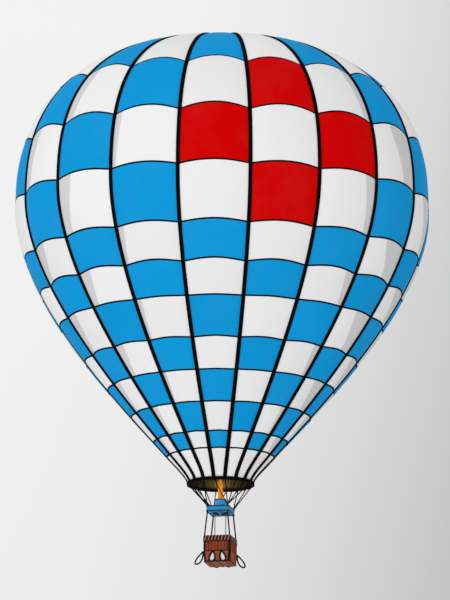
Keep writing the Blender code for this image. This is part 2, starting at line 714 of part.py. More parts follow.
def make_rope_loops():
    """Rope handle loops: two flat on the front, two on the back, one out at two corners."""
    top = BASE_Z + WICKER_LOW - 0.005
    half_x, half_y = basket_half(WICKER_LOW)
    skin_y = half_y + HIDE_STAND_OUT + 2 * GAP + LOOP_ROPE_RADIUS
    skin_x = half_x + HIDE_STAND_OUT + LOOP_SEAT
    # name, anchor, direction across, lean at the bottom, height
    loops = (
        ("rope_loop_front_left", (-0.15, -skin_y, top), (1, 0, 0), (-0.04, 0, 0), LOOP_HEIGHT),
        ("rope_loop_front_right", (0.20, -skin_y, top), (1, 0, 0), (0.06, 0, 0), LOOP_HEIGHT),
        ("rope_loop_back_right", (0.15, skin_y, top), (1, 0, 0), (0.04, 0, 0), LOOP_HEIGHT),
        ("rope_loop_back_left", (-0.20, skin_y, top), (1, 0, 0), (-0.06, 0, 0), LOOP_HEIGHT),
        ("rope_loop_left", (-skin_x, -half_y + 0.12, top), (1, 0, 0), (-LOOP_STAND_OUT, 0, 0),
         SIDE_LOOP_HEIGHT),
        ("rope_loop_right", (skin_x, half_y - 0.12, top), (1, 0, 0), (LOOP_STAND_OUT, 0, 0),
         SIDE_LOOP_HEIGHT),
    )
    for name, anchor, across, lean, height in loops:
        bm = bmesh.new()
        tube_along(bm, loop_path(anchor, across, lean, height), LOOP_ROPE_RADIUS, 8, True)
        add_object(name, bm, BLACK, 0.9)


for old in list(bpy.data.objects):
    bpy.data.objects.remove(old)
make_envelope()
make_tapes()
make_valve()
make_mouth_band()
make_flying_wires()
make_load_frame()
make_gimbal_ring()
make_burner()
make_basket()
make_uprights()
make_fuel()
make_rope_loops()
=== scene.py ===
import math

import bmesh
import bpy
import numpy as np
from mathutils import Euler, Matrix


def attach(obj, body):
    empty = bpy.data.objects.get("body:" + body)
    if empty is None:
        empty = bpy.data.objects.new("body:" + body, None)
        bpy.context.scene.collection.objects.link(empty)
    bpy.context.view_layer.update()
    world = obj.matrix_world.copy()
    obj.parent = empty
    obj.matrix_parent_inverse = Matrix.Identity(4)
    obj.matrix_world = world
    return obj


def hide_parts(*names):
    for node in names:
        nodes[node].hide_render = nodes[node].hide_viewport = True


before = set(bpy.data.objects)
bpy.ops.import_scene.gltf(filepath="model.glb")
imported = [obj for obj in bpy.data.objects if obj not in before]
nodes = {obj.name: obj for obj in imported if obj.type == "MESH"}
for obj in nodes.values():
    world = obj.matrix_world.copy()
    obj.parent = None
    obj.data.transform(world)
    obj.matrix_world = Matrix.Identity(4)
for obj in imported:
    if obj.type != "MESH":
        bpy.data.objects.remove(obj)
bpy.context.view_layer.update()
print("frame loaded:", len(nodes), "nodes")

# far below and in front of the balloon, with a long lens; turn, tilt and roll are in degrees
camera = {"turn": 12.35, "distance": 342.7, "aside": 0.133, "height": -78.97,
          "tilt": 12.385, "roll": 0.37, "lens": 508.25, "near": 1.0, "far": 3000.0}


def placeCamera(place):
    # stands at a distance in the direction of the turn, moved a little to its right,
    # looks up by the tilt and leans by the roll
    turn = math.radians(place["turn"])
    back, aside = place["distance"], place["aside"]
    data = bpy.data.cameras.new("camera")
    data.lens = place["lens"]
    data.clip_start, data.clip_end = place["near"], place["far"]
    eye = bpy.data.objects.new("camera", data)
    eye.location = (back * math.sin(turn) + aside * math.cos(turn),
                    -back * math.cos(turn) + aside * math.sin(turn), place["height"])
    look = Euler((math.radians(90 + place["tilt"]), 0, turn)).to_matrix()
    look = look @ Matrix.Rotation(math.radians(place["roll"]), 3, "Z")
    eye.rotation_euler = look.to_euler()
    bpy.context.scene.collection.objects.link(eye)
    bpy.context.scene.camera = eye


placeCamera(camera)
print("camera placed")

# meshes: each surface is one or more grids of points, rows by columns
meshing = {"merge": 1e-5, "sharpAngle": 42}


def gridFaces(rows, columns, start=0):
    # the four corners of each cell of a grid whose points are numbered row by row
    index = start + np.arange(rows * columns).reshape(rows, columns)
    corners = [index[:-1, :-1], index[1:, :-1], index[1:, 1:], index[:-1, 1:]]
    return np.stack(corners, axis=-1).reshape(-1, 4)


def buildPiece(name, grids, material, closed=True):
    # grids are (points, uv) pairs; a face's outside is along its rows' direction crossed with its columns'
    points, uvs, faces, start = [], [], [], 0
    for grid, uv in grids:
        rows, columns = grid.shape[:2]
        faces.append(gridFaces(rows, columns, start))
        points.append(grid.reshape(-1, 3))
        uvs.append((np.zeros((rows, columns, 2)) if uv is None else uv).reshape(-1, 2))
        start += rows * columns
    points, uvs, faces = np.concatenate(points), np.concatenate(uvs), np.concatenate(faces)
    mesh = bpy.data.meshes.new(name)
    mesh.vertices.add(len(points))
    mesh.vertices.foreach_set("co", points.astype(np.float32).ravel())
    mesh.loops.add(faces.size)
    mesh.loops.foreach_set("vertex_index", faces.astype(np.int32).ravel())
    mesh.polygons.add(len(faces))
    mesh.polygons.foreach_set("loop_start", np.arange(0, faces.size, 4, dtype=np.int32))
    layer = mesh.uv_layers.new(name="metres")
    layer.data.foreach_set("uv", uvs[faces.ravel()].astype(np.float32).ravel())
    mesh.update(calc_edges=True)
    bm = bmesh.new()
    bm.from_mesh(mesh)
    bmesh.ops.remove_doubles(bm, verts=bm.verts, dist=meshing["merge"])
    if closed:
        bmesh.ops.recalc_face_normals(bm, faces=bm.faces)
    bm.to_mesh(mesh)
    bm.free()
    mesh.validate()
    mesh.shade_smooth()
    mesh.set_sharp_from_angle(angle=math.radians(meshing["sharpAngle"]))
    piece = bpy.data.objects.new(name, mesh)
    mesh.materials.append(material)
    bpy.context.scene.collection.objects.link(piece)
    return piece


def repaint(name, material):
    # a solid of the frame keeps its mesh and gets this material
    nodes[name].data.materials.clear()
    nodes[name].data.materials.append(material)


def metresOf(grid):
    # UV in metres: lengths summed along the middle column and the middle row
    rows, columns = grid.shape[:2]
    down = np.linalg.norm(np.diff(grid[:, columns // 2], axis=0), axis=1)
    over = np.linalg.norm(np.diff(grid[rows // 2], axis=0), axis=1)
    v = np.concatenate([[0.0], np.cumsum(down)])[:, None] + np.zeros((1, columns))
    u = np.concatenate([[0.0], np.cumsum(over)])[None, :] + np.zeros((rows, 1))
    return np.stack([u, v], axis=-1)


def between(first, second, uv):
    # the faces between two rows of points
    return np.stack([first, second]), np.stack([uv, uv])


def slab(outer, inner, uv=None):
    # two skins of the same grid with their four edges closed
    uv = metresOf(outer) if uv is None else uv
    sides = (np.s_[0], np.s_[-1], np.s_[:, 0], np.s_[:, -1])
    edges = [between(outer[side], inner[side], uv[side]) for side in sides]
    return [(outer, uv), (inner[::-1], uv[::-1])] + edges


def turned(profile, segments=48, centre=(0.0, 0.0, 0.0), axis="z"):
    # an outline of (radius, height) points carried once round an axis; a radius of 0 closes an end
    outline = np.array(profile, dtype=float)
    turns = np.linspace(0, 2 * math.pi, segments + 1)
    r, h = outline[:, 0][:, None], outline[:, 1][:, None] + 0 * turns
    a, b = r * np.cos(turns), r * np.sin(turns)
    order = {"z": (a, b, h), "x": (h, a, b), "y": (a, h, b)}[axis]
    grid = np.stack(order, axis=-1) + np.array(centre)
    return grid, metresOf(grid)


def tubed(path, radius, sides=12, reference=(0.0, 0.0, 1.0), capped=True):
    # a circle of that radius carried along a path, square to it; the reference sets where the circle begins
    path = np.asarray(path, dtype=float)
    ahead = np.gradient(path, axis=0)
    ahead /= np.linalg.norm(ahead, axis=1)[:, None]
    side = np.cross(ahead, np.array(reference))
    side /= np.maximum(np.linalg.norm(side, axis=1), 1e-9)[:, None]
    up = np.cross(side, ahead)
    turns = np.linspace(0, 2 * math.pi, sides + 1)
    radius = np.broadcast_to(np.asarray(radius, dtype=float), (len(path),))[:, None, None]
    ring = np.cos(turns)[None, :, None] * side[:, None] + np.sin(turns)[None, :, None] * up[:, None]
    grid = path[:, None] + radius * ring
    if capped:
        ends = [np.broadcast_to(path[k], (1, sides + 1, 3)) for k in (0, -1)]
        grid = np.concatenate([ends[0], grid, ends[1]])
    return grid, metresOf(grid)


def hoop(path, radius, sides=10):
    # a tube along a path that ends where it begins: one point more at each end, taken off again after
    grid, uv = tubed(np.concatenate([path[-2:-1], path, path[1:2]]), radius, sides, capped=False)
    return grid[1:-1], uv[1:-1]


def torus(radius, thick, centre, axis="z", segments=48, sides=12):
    # a round ring: a circle of the thickness carried round the axis
    a = np.linspace(0, 2 * math.pi, sides + 1)
    circle = np.stack([radius + thick * np.cos(a), thick * np.sin(a)], axis=-1)
    return turned(circle, segments, centre, axis)


def wander(t, seed, waves=5):
    # a smooth wobble between about -1 and 1: a sum of sines with seeded waves and phases
    random = np.random.default_rng(seed)
    total = 0.0
    for k in range(waves):
        total = total + np.sin(t * random.uniform(0.6, 1.4) * (k + 1) + random.uniform(0, 6.28)) / (k + 1)
    return total / 2


# shader nodes
def setInput(tree, socket, value):
    # joins another node's socket, or sets a number, a vector or a colour, which may leave out its alpha
    if isinstance(value, bpy.types.NodeSocket):
        tree.links.new(value, socket)
    elif socket.type == "RGBA" and len(value) == 3:
        socket.default_value = (*value, 1.0)
    else:
        socket.default_value = value


def put(tree, kind, *values, out=0, **settings):
    # a node with its inputs given in order, as values or as other nodes' sockets; None leaves one as it is
    node = tree.nodes.new(kind)
    for key, value in settings.items():
        setattr(node, key, value)
    for socket, value in zip(node.inputs, values):
        if value is not None:
            setInput(tree, socket, value)
    return node.outputs[out]


def maths(tree, operation, *values):
    # one step of arithmetic
    return put(tree, "ShaderNodeMath", *values, operation=operation)


def apart(tree, first, second):
    # how far two values are from each other
    return maths(tree, "ABSOLUTE", maths(tree, "SUBTRACT", first, second))


def mixed(tree, factor, first, second, kind="MIX"):
    # one colour into another
    node = tree.nodes.new("ShaderNodeMix")
    node.data_type, node.blend_type = "RGBA", kind
    for index, value in ((0, factor), (6, first), (7, second)):
        setInput(tree, node.inputs[index], value)
    return node.outputs[2]


def greyOf(tree, value):
    # a grey as bright as the value
    return put(tree, "ShaderNodeCombineColor", value, value, value)


def toned(tree, colour, value):
    # a colour times a brightness
    return mixed(tree, 1.0, colour, greyOf(tree, value), "MULTIPLY")


def ranged(tree, value, low, high, toLow=0.0, toHigh=1.0, shape="SMOOTHSTEP"):
    # a value carried from one range to another by a smooth step, clamped
    return put(tree, "ShaderNodeMapRange", value, low, high, toLow, toHigh, interpolation_type=shape)


def straight(tree, value, low, high, toLow=0.0, toHigh=1.0):
    # the same along a straight line
    return ranged(tree, value, low, high, toLow, toHigh, "LINEAR")


def uvMap(tree, name="metres"):
    # places on the surface, in metres or by panels
    return put(tree, "ShaderNodeUVMap", uv_map=name)


def objectPlace(tree):
    # places in the piece's own space
    return tree.nodes.new("ShaderNodeTexCoord").outputs["Object"]


def separated(tree, vector):
    # the three parts of a vector
    return put(tree, "ShaderNodeSeparateXYZ", vector).node.outputs


def noise(tree, place, scale, detail, rough=0.5):
    # smooth noise, finer with a larger scale
    return put(tree, "ShaderNodeTexNoise", place, None, scale, detail, rough)


def scaled(tree, place, scale):
    # places times a scale on each axis, which draws a pattern out along the smallest one
    return put(tree, "ShaderNodeMapping", place, None, None, scale)


def newGroup(name, inputs, outputs):
    # an empty shader group; returns its tree, its inputs by name and a function that sets an output
    tree = bpy.data.node_groups.new(name, "ShaderNodeTree")
    for label, kind, value in inputs:
        socket = tree.interface.new_socket(label, in_out="INPUT", socket_type="NodeSocket" + kind)
        if value is not None:
            socket.default_value = value
    for label, kind in outputs:
        tree.interface.new_socket(label, in_out="OUTPUT", socket_type="NodeSocket" + kind)
    inside, outside = tree.nodes.new("NodeGroupInput"), tree.nodes.new("NodeGroupOutput")

    def give(label, socket):
        tree.links.new(socket, outside.inputs[label])

    return tree, {s.name: s for s in inside.outputs}, give


def useGroup(tree, group, **values):
    # places a group in a material, with its inputs given by name
    node = tree.nodes.new("ShaderNodeGroup")
    node.node_tree = group
    for label, value in values.items():
        setInput(tree, node.inputs[label], value)
    return node.outputs


mottling = {"stainFrom": 0.42, "stainFull": 0.68, "grainScale": 9.0, "roughSwing": 0.25}


def makeMottle(m):
    # slow noise darkens a colour here and there, fast noise grains it, and the fast one also roughens it
    inputs = [("Place", "Vector", None), ("Colour", "Color", (0.5, 0.5, 0.5, 1)),
              ("Stain", "Color", (0.2, 0.2, 0.2, 1)), ("Amount", "Float", 0.3), ("Scale", "Float", 2.0),
              ("Rough", "Float", 0.6), ("Grain", "Float", 0.3)]
    outputs = [("Colour", "Color"), ("Roughness", "Float"), ("Height", "Float")]
    tree, given, give = newGroup("mottle", inputs, outputs)
    slow = noise(tree, given["Place"], given["Scale"], 4.0, 0.6)
    fast = noise(tree, given["Place"], maths(tree, "MULTIPLY", given["Scale"], m["grainScale"]), 3.0, 0.6)
    swing = maths(tree, "SUBTRACT", fast, 0.5)
    share = maths(tree, "MULTIPLY", ranged(tree, slow, m["stainFrom"], m["stainFull"]), given["Amount"])
    colour = mixed(tree, share, given["Colour"], given["Stain"])
    give("Colour", toned(tree, colour, maths(tree, "MULTIPLY_ADD", swing, given["Grain"], 1.0)))
    give("Roughness", maths(tree, "ADD", given["Rough"], maths(tree, "MULTIPLY", swing, m["roughSwing"])))
    give("Height", fast)
    return tree


def makeWeave():
    # two crossed rows of rounded threads: the larger of a sine along each direction
    inputs = [("Place", "Vector", None), ("Pitch", "Float", 0.02)]
    tree, given, give = newGroup("weave", inputs, [("Height", "Float")])
    parts = separated(tree, given["Place"])
    turns = maths(tree, "DIVIDE", 2 * math.pi, given["Pitch"])
    across = maths(tree, "SINE", maths(tree, "MULTIPLY", parts[0], turns))
    along = maths(tree, "SINE", maths(tree, "MULTIPLY", parts[1], turns))
    give("Height", maths(tree, "MAXIMUM", across, along))
    return tree


def makeStitches(dashShare=0.65):
    # dashes on a line across = Place: near the line, and the longer part of each pitch along it
    inputs = [("Across", "Float", 0.0), ("Along", "Float", 0.0), ("Place", "Float", 0.1),
              ("Pitch", "Float", 0.04), ("Thick", "Float", 0.004)]
    tree, given, give = newGroup("stitches", inputs, [("Mask", "Float")])
    near = maths(tree, "LESS_THAN", apart(tree, given["Across"], given["Place"]), given["Thick"])
    step = maths(tree, "FRACT", maths(tree, "DIVIDE", given["Along"], given["Pitch"]))
    give("Mask", maths(tree, "MULTIPLY", near, maths(tree, "LESS_THAN", step, dashShare)))
    return tree


mottle, weave, stitches = makeMottle(mottling), makeWeave(), makeStitches()


def newMaterial(name, roughness, metallic=0.0, gloss=0.5):
    # a material with its own Principled shader; constant values go on the shader's sockets
    material = bpy.data.materials.new(name)
    material.use_nodes = True
    tree = material.node_tree
    shader = tree.nodes["Principled BSDF"]
    shader.inputs["Roughness"].default_value = roughness
    shader.inputs["Metallic"].default_value = metallic
    shader.inputs["Specular IOR Level"].default_value = gloss
    return material, tree, shader


def finishWith(tree, shader, colour, roughness=None, height=None, depth=0.001, strength=0.5):
    # joins a colour, a roughness and a bump to the shader
    tree.links.new(colour, shader.inputs["Base Color"])
    if roughness is not None:
        tree.links.new(roughness, shader.inputs["Roughness"])
    if height is not None:
        bump = tree.nodes.new("ShaderNodeBump")
        bump.inputs["Strength"].default_value = strength
        bump.inputs["Distance"].default_value = depth
        tree.links.new(height, bump.inputs["Height"])
        tree.links.new(bump.outputs["Normal"], shader.inputs["Normal"])


def plainMaterial(name, colour, stain, amount=0.3, scale=3.0, rough=0.5, metallic=0.0, gloss=0.5,
                  depth=0.001, uv=False):
    # mottled paint, metal, wood or rubber on object or UV coordinates
    material, tree, shader = newMaterial(name, rough, metallic, gloss)
    place = uvMap(tree) if uv else objectPlace(tree)
    out = useGroup(tree, mottle, Place=place, Colour=colour, Stain=stain, Amount=amount, Scale=scale,
                   Rough=rough)
    finishWith(tree, shader, out["Colour"], out["Roughness"], out["Height"], depth)
    return material


# the envelope's shape is the same curve as the solids'
envelope = {
    "gores": 18, "radius": 8.5, "crownHeight": 7.15, "crownFullness": 2.4, "mouthRadius": 1.37,
    "mouthZ": -11.46, "mouthPull": (0.14, 0.80), "conePull": 4.6, "ventRadius": 2.2, "valveOverlap": 0.28,
    "cloth": 0.004,
    "bulge": 0.105, "bulgeShape": 3.0, "panelPuff": 0.014, "mouthDraw": 0.045, "drawLength": 1.5,
    "tapeWidth": 0.165, "tapeThick": 0.055, "tapeStart": 0.26, "seamWidth": 0.074, "seamThick": 0.006,
    # height of each ring of seams at the middle of a gore, and how far it drops at the tapes
    "seams": ((4.972, 0.20), (2.710, 0.21), (0.270, 0.13), (-2.070, 0.13), (-3.538, 0.14), (-4.894, 0.05),
              (-6.380, 0.07), (-7.571, 0.03), (-8.709, 0.03), (-9.753, 0.03), (-10.364, 0.02))}
goreStep = 2 * math.pi / envelope["gores"]


def envelopeCurve(e):
    # crown: a superellipse from the top to the widest ring; cone: a cubic Bezier from there to the mouth
    fall = np.linspace(0.0, 1.0, 600)
    angle, power = fall * math.pi / 2, 2.0 / e["crownFullness"]
    upperR = e["radius"] * np.sin(angle) ** power
    upperZ = e["crownHeight"] * np.abs(np.cos(angle)) ** power
    upperZ[-1] = 0.0
    mouth = np.array([e["mouthRadius"], e["mouthZ"]])
    ends = np.array([[e["radius"], 0.0], [e["radius"], -e["conePull"]], mouth + e["mouthPull"], mouth])
    t = fall[1:, None]
    lower = ((1 - t) ** 3 * ends[0] + 3 * (1 - t) ** 2 * t * ends[1]
             + 3 * (1 - t) * t ** 2 * ends[2] + t ** 3 * ends[3])
    r, z = np.concatenate([upperR, lower[:, 0]]), np.concatenate([upperZ, lower[:, 1]])
    length = np.concatenate([[0.0], np.cumsum(np.hypot(np.diff(r), np.diff(z)))])
    dr, dz = np.gradient(r, length), np.gradient(z, length)
    size = np.hypot(dr, dz)
    return {"length": length, "r": r, "z": z, "outR": -dz / size, "outZ": dr / size}


curve = envelopeCurve(envelope)
widest = int(np.argmax(curve["r"]))


def onCurve(key, length):
    # radius, height or a part of the outward normal at a length down the curve
    return np.interp(length, curve["length"], curve[key])


def lengthAtHeight(z):
    # the length down the curve where it has this height
    return np.interp(-np.asarray(z, dtype=float), -curve["z"], curve["length"])


def lengthAtRadius(r):
    # the length down the curve where it has this radius, on the crown above the widest ring
    return float(np.interp(r, curve["r"][:widest], curve["length"][:widest]))


mouthLength = float(curve["length"][-1])
ventLength = lengthAtRadius(envelope["ventRadius"])
seamZ = np.array([z for z, _ in envelope["seams"]])
seamDrop = np.array([drop for _, drop in envelope["seams"]])
rowEdges = np.concatenate([[float(onCurve("z", ventLength))], seamZ, [envelope["mouthZ"]]])
rowDrops = np.concatenate([[0.0], seamDrop, [0.0]])


def seamFall(part, z):
    # a ring of seams hangs lower at the tapes: its drop times 1 minus the sine across the gore
    drop = np.interp(-z, -rowEdges, rowDrops)
    return drop * (1 - np.sin(math.pi * np.clip(part, 0, 1)))


def rowAt(part, length):
    # row number with its fraction, counted down from the vent
    z = onCurve("z", length)
    return np.interp(-(z + seamFall(part, z)), -rowEdges, np.arange(len(rowEdges)))


def drawnIn(length):
    # the skirt's last metre and a half is drawn in towards the mouth, by a smooth step
    reach = envelope["drawLength"]
    share = np.clip((length - mouthLength + reach) / reach, 0, 1)
    return envelope["mouthDraw"] * share ** 2 * (3 - 2 * share)


def raised(turn, length, lift, below=0.0):
    # the curve's point moved out along its normal by the lift, then down, and turned round the balloon's axis
    radius = onCurve("r", length) + onCurve("outR", length) * lift
    z = onCurve("z", length) + onCurve("outZ", length) * lift - below
    return np.stack([radius * np.sin(turn), -radius * np.cos(turn), z + 0 * turn], axis=-1)


def tapeHalf(length):
    # half a tape's width as an angle, and near the top at most nearly half a gore
    return np.minimum(envelope["tapeWidth"] / 2 / onCurve("r", length), goreStep * 0.47)


def goreTurn(gore, part, length):
    # angle of a point between the tapes' edges; part below 0 or above 1 runs under the tape to its middle
    half = tapeHalf(length)
    under = np.clip(part, -1, 0) * half + np.clip(part - 1, 0, 1) * half
    return gore * goreStep + half + np.clip(part, 0, 1) * (goreStep - 2 * half) + under


def clothPoint(gore, part, length, lift=0.0):
    # a point of the cloth: raised by the lift, by the gore's bulge, which is 1 minus a power of the distance
    # from its middle, and by the panel's puff, a sine across it times a sine down it; drawn in at the mouth
    inside = np.clip(part, 0, 1)
    arch = 1 - np.abs(2 * inside - 1) ** envelope["bulgeShape"]
    puff = envelope["panelPuff"] * np.sin(math.pi * inside) * np.abs(np.sin(math.pi * rowAt(part, length)))
    size = np.minimum(onCurve("r", length) / envelope["radius"], 1.0)
    rise = lift + (envelope["bulge"] * arch + puff) * size - drawnIn(length)
    return raised(goreTurn(gore, part, length), length, rise)


def roundGores(steps):
    # turns round the whole balloon, so many steps to a gore, and each turn's share across its gore
    turns = np.linspace(0, 2 * math.pi, envelope["gores"] * steps + 1)
    return turns, turns / goreStep - np.floor(turns / goreStep + 1e-6)


# colours of the panels and of the painted shade on white ones; red panels stand round one white panel at
# each of the red middles
panels = {"blue": (0.0050, 0.330, 0.735), "white": (0.90, 0.90, 0.902), "red": (0.660, 0.0008, 0.0008),
          "redMiddles": (1.0, 9.0), "redRow": 2.0, "skirtRow": 10.5, "strip": (0.675, 0.676, 0.682),
          # places counted in gores from the middle of the front, between which the painted shade strips
          # narrow or widen, and the widths there as shares of a gore
          "stripMiddle": 0.45, "stripLeft": (-3.0, -0.7, 0.40, 0.0), "stripRight": (0.9, 2.8, 0.0, 0.66),
          "stripDown": (1.05, 0.7), "stripSoft": 0.02}


def makeClothColour(p):
    # panel colour from gore and row numbers: chequered by whether their sum is odd, with four red panels
    # round one white panel on two sides, and the skirt white
    outputs = [("Colour", "Color"), ("Row", "Float"), ("Tone", "Float")]
    tree, given, give = newGroup("chequers", [("Panel", "Vector", None)], outputs)
    parts = separated(tree, given["Panel"])
    gore, row = maths(tree, "FLOOR", parts[0]), maths(tree, "FLOOR", parts[1])
    across, down = maths(tree, "FRACT", parts[0]), maths(tree, "FRACT", parts[1])
    odd = maths(tree, "FLOORED_MODULO", maths(tree, "ADD", gore, row), 2.0)
    # white panels have a pale grey strip of painted shade on the edge away from the front or the back:
    # none on the two middle gores, wider towards the sides, most so on the right, and narrower down the panel
    half = envelope["gores"] / 2
    lap = maths(tree, "FLOORED_MODULO", gore, half)
    back = maths(tree, "MULTIPLY", maths(tree, "GREATER_THAN", lap, half / 2), half)
    aside = maths(tree, "SUBTRACT", maths(tree, "SUBTRACT", lap, back), p["stripMiddle"])
    fromEdge = apart(tree, maths(tree, "GREATER_THAN", aside, 0.0), across)
    leftWide, rightWide = straight(tree, aside, *p["stripLeft"]), straight(tree, aside, *p["stripRight"])
    narrowing = ranged(tree, down, 0.0, 1.0, *p["stripDown"])
    wide = maths(tree, "MULTIPLY", maths(tree, "ADD", leftWide, rightWide), narrowing)
    # painted shade: a pale grey strip on each white panel's outer edge
    strip = ranged(tree, maths(tree, "SUBTRACT", fromEdge, wide), -p["stripSoft"], 0.0, 1.0, 0.0)
    colour = mixed(tree, odd, p["blue"], mixed(tree, strip, p["white"], p["strip"]))
    for middle in p["redMiddles"]:
        away = maths(tree, "ADD", apart(tree, gore, middle), apart(tree, row, p["redRow"]))
        colour = mixed(tree, maths(tree, "COMPARE", away, 1.0, 0.2), colour, p["red"])
    give("Colour", mixed(tree, maths(tree, "GREATER_THAN", row, p["skirtRow"]), colour, p["white"]))
    give("Row", parts[1])
    number = put(tree, "ShaderNodeCombineXYZ", gore, row)
    give("Tone", put(tree, "ShaderNodeTexWhiteNoise", number, noise_dimensions="2D"))
    return tree


cloth = {"outsideRough": 0.6, "insideRough": 0.7, "gloss": 0.012, "tones": (0.97, 1.02),
         "stain": (0.45, 0.46, 0.47), "thread": 0.05, "foldScale": (0.7, 3.2, 1.0),
         # inside: greyer than outside, brown with soot low down, and a faint painted glow that stands in for
         # daylight through it
         "grey": (0.10, 0.09, 0.08), "greyShare": 0.55, "sootRows": (9.6, 11.0),
         "sootDark": (0.018, 0.0155, 0.009), "sootPale": (0.031, 0.0265, 0.0145), "glow": 0.32}


def dressInside(tree, shader, c, out, metres, colour):
    # the skirt's inside is brown with soot, which has no painted glow, and the cloth above it is greyer
    sooty = ranged(tree, out["Row"], *c["sootRows"])
    soot = mixed(tree, noise(tree, metres, 1.2, 4.0), c["sootDark"], c["sootPale"])
    # painted light: the panels' colours glow faintly, standing in for daylight through the cloth
    tree.links.new(mixed(tree, sooty, out["Colour"], (0.0, 0.0, 0.0)), shader.inputs["Emission Color"])
    shader.inputs["Emission Strength"].default_value = c["glow"]
    return mixed(tree, sooty, mixed(tree, c["greyShare"], colour, c["grey"]), soot)


def makeClothMaterial(name, c, chequers, rough, inside=False):
    # chequered coated cloth, each panel a little different, with puckers beside the tapes
    material, tree, shader = newMaterial(name, rough, gloss=c["gloss"])
    panel, metres = uvMap(tree, "panels"), uvMap(tree)
    out = useGroup(tree, chequers, Panel=panel)
    colour = toned(tree, out["Colour"], ranged(tree, out["Tone"], 0.0, 1.0, *c["tones"]))
    if inside:
        colour = dressInside(tree, shader, c, out, metres, colour)
    stain = useGroup(tree, mottle, Place=metres, Colour=colour, Stain=c["stain"], Amount=0.012, Scale=0.35,
                     Rough=rough, Grain=0.03)
    fold = noise(tree, scaled(tree, metres, c["foldScale"]), 1.6, 3.0)
    edge = apart(tree, maths(tree, "FRACT", separated(tree, panel)[0]), 0.5)
    pucker = maths(tree, "MULTIPLY", fold, ranged(tree, edge, 0.32, 0.5, 0.05, 1.0))
    threads = useGroup(tree, weave, Place=metres, Pitch=c["thread"])["Height"]
    height = maths(tree, "ADD", pucker, maths(tree, "MULTIPLY", threads, 0.01))
    finishWith(tree, shader, stain["Colour"], stain["Roughness"], height, 0.03, 0.6)
    return material


chequers = makeClothColour(panels)
clothOutside = makeClothMaterial("cloth_outside", cloth, chequers, cloth["outsideRough"])
clothInside = makeClothMaterial("cloth_inside", cloth, chequers, cloth["insideRough"], inside=True)


def setPanels(piece, u, v):
    # the panels map: gore number plus the share across it, and row number with its fraction, corner by corner
    layer = piece.data.uv_layers.new(name="panels")
    layer.data.foreach_set("uv", np.stack([u, v], axis=-1).astype(np.float32).ravel())


def giveWall(piece):
    # the cloth's thickness, with the inner skin in the inside's material
    piece.data.materials.append(clothInside)
    wall = piece.modifiers.new("wall", "SOLIDIFY")
    wall.thickness, wall.offset, wall.material_offset = envelope["cloth"], -1.0, 1


def makeGores(e):
    # one sheet of cloth a gore, from the vent to the mouth, its columns closer together beside the tapes by
    # a cosine
    lengths = np.linspace(ventLength, mouthLength, 210)
    parts = np.concatenate([[-1.0], (1 - np.cos(np.linspace(0, math.pi, 17))) / 2, [2.0]])
    length, part = np.meshgrid(lengths, parts, indexing="ij")
    corners = gridFaces(*length.shape).ravel()
    share = 0.003 + 0.994 * np.clip((part + 0.02) / 1.04, 0, 1).ravel()[corners]
    row = rowAt(part, length).ravel()[corners]
    for gore in range(e["gores"]):
        grid = clothPoint(gore, part, length)
        uv = metresOf(grid) + np.array([gore * 3.0, 0.0])  # its own stretch of the noise
        piece = buildPiece(f"gore_cloth_{gore + 1:02d}", [(grid, uv)], clothOutside, closed=False)
        setPanels(piece, gore + share, row)
        giveWall(piece)
        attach(piece, "balloon")
        if gore == 0:
            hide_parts(*[n for n in nodes if n.startswith("envelope_")])


makeGores(envelope)
print("gores made")

webbingLook = {"colour": (0.0018, 0.0018, 0.002), "stain": (0.004, 0.004, 0.0045), "rough": 0.85,
               "thread": (0.02, 0.02, 0.022), "stitchRows": (0.12, 0.88), "stitchPitch": 0.03,
               "stitchThick": 0.0025, "rib": 0.006}


def makeWebbing(name, width):
    # black webbing: ribs across it and a row of stitches near each edge
    w = webbingLook
    material, tree, shader = newMaterial(name, w["rough"], gloss=0.03)
    metres = uvMap(tree)
    parts = separated(tree, metres)
    out = useGroup(tree, mottle, Place=metres, Colour=w["colour"], Stain=w["stain"], Amount=0.5, Scale=3.0,
                   Rough=w["rough"])
    made = out["Colour"]
    for share in w["stitchRows"]:
        mask = useGroup(tree, stitches, Across=parts[0], Along=parts[1], Place=share * width,
                        Pitch=w["stitchPitch"], Thick=w["stitchThick"])["Mask"]
        made = mixed(tree, mask, made, w["thread"])
    ribs = useGroup(tree, weave, Place=metres, Pitch=w["rib"])["Height"]
    finishWith(tree, shader, made, out["Roughness"], ribs)
    return material


webbing = makeWebbing("black_webbing", 0.15)
seamWebbing = makeWebbing("seam_webbing", envelope["seamWidth"])


def makeLoadTapes(e):
    # each tape: a strap with a rounded back on the strip between two gores, from the crown ring to the mouth
    lengths = np.concatenate([np.linspace(lengthAtRadius(e["tapeStart"]), 2.0, 8),
                              np.linspace(2.3, mouthLength - 0.005, 150)])[:, None]
    # across the strap, lift: outer face from edge to edge, then back underneath
    section = np.array([(-1, 0.0), (-1, 0.35), (-0.9, 0.68), (-0.6, 0.92), (0, 1.0), (0.6, 0.92), (0.9, 0.68),
                        (1, 0.35), (1, 0.0), (0, -0.05), (-1, 0.0)])
    across = (section[:, 0] + 1) / 2 * e["tapeWidth"]
    uv = np.stack(np.broadcast_arrays(across, lengths), axis=-1)
    grids = []
    for tape in range(e["gores"]):
        turn = tape * goreStep + section[:, 0] * tapeHalf(lengths)
        grid = raised(turn, lengths, 0.001 + e["tapeThick"] * section[:, 1] + 0 * turn - drawnIn(lengths))
        grids.append((grid, uv))
        for end in (0, -1):
            middle = np.broadcast_to(grid[end].mean(axis=0), grid[end].shape)
            grids.append(between(grid[end], middle, uv[end]))
    piece = buildPiece("load_tape_webbing", grids, webbing)
    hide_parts("load_tapes")
    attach(piece, "balloon")


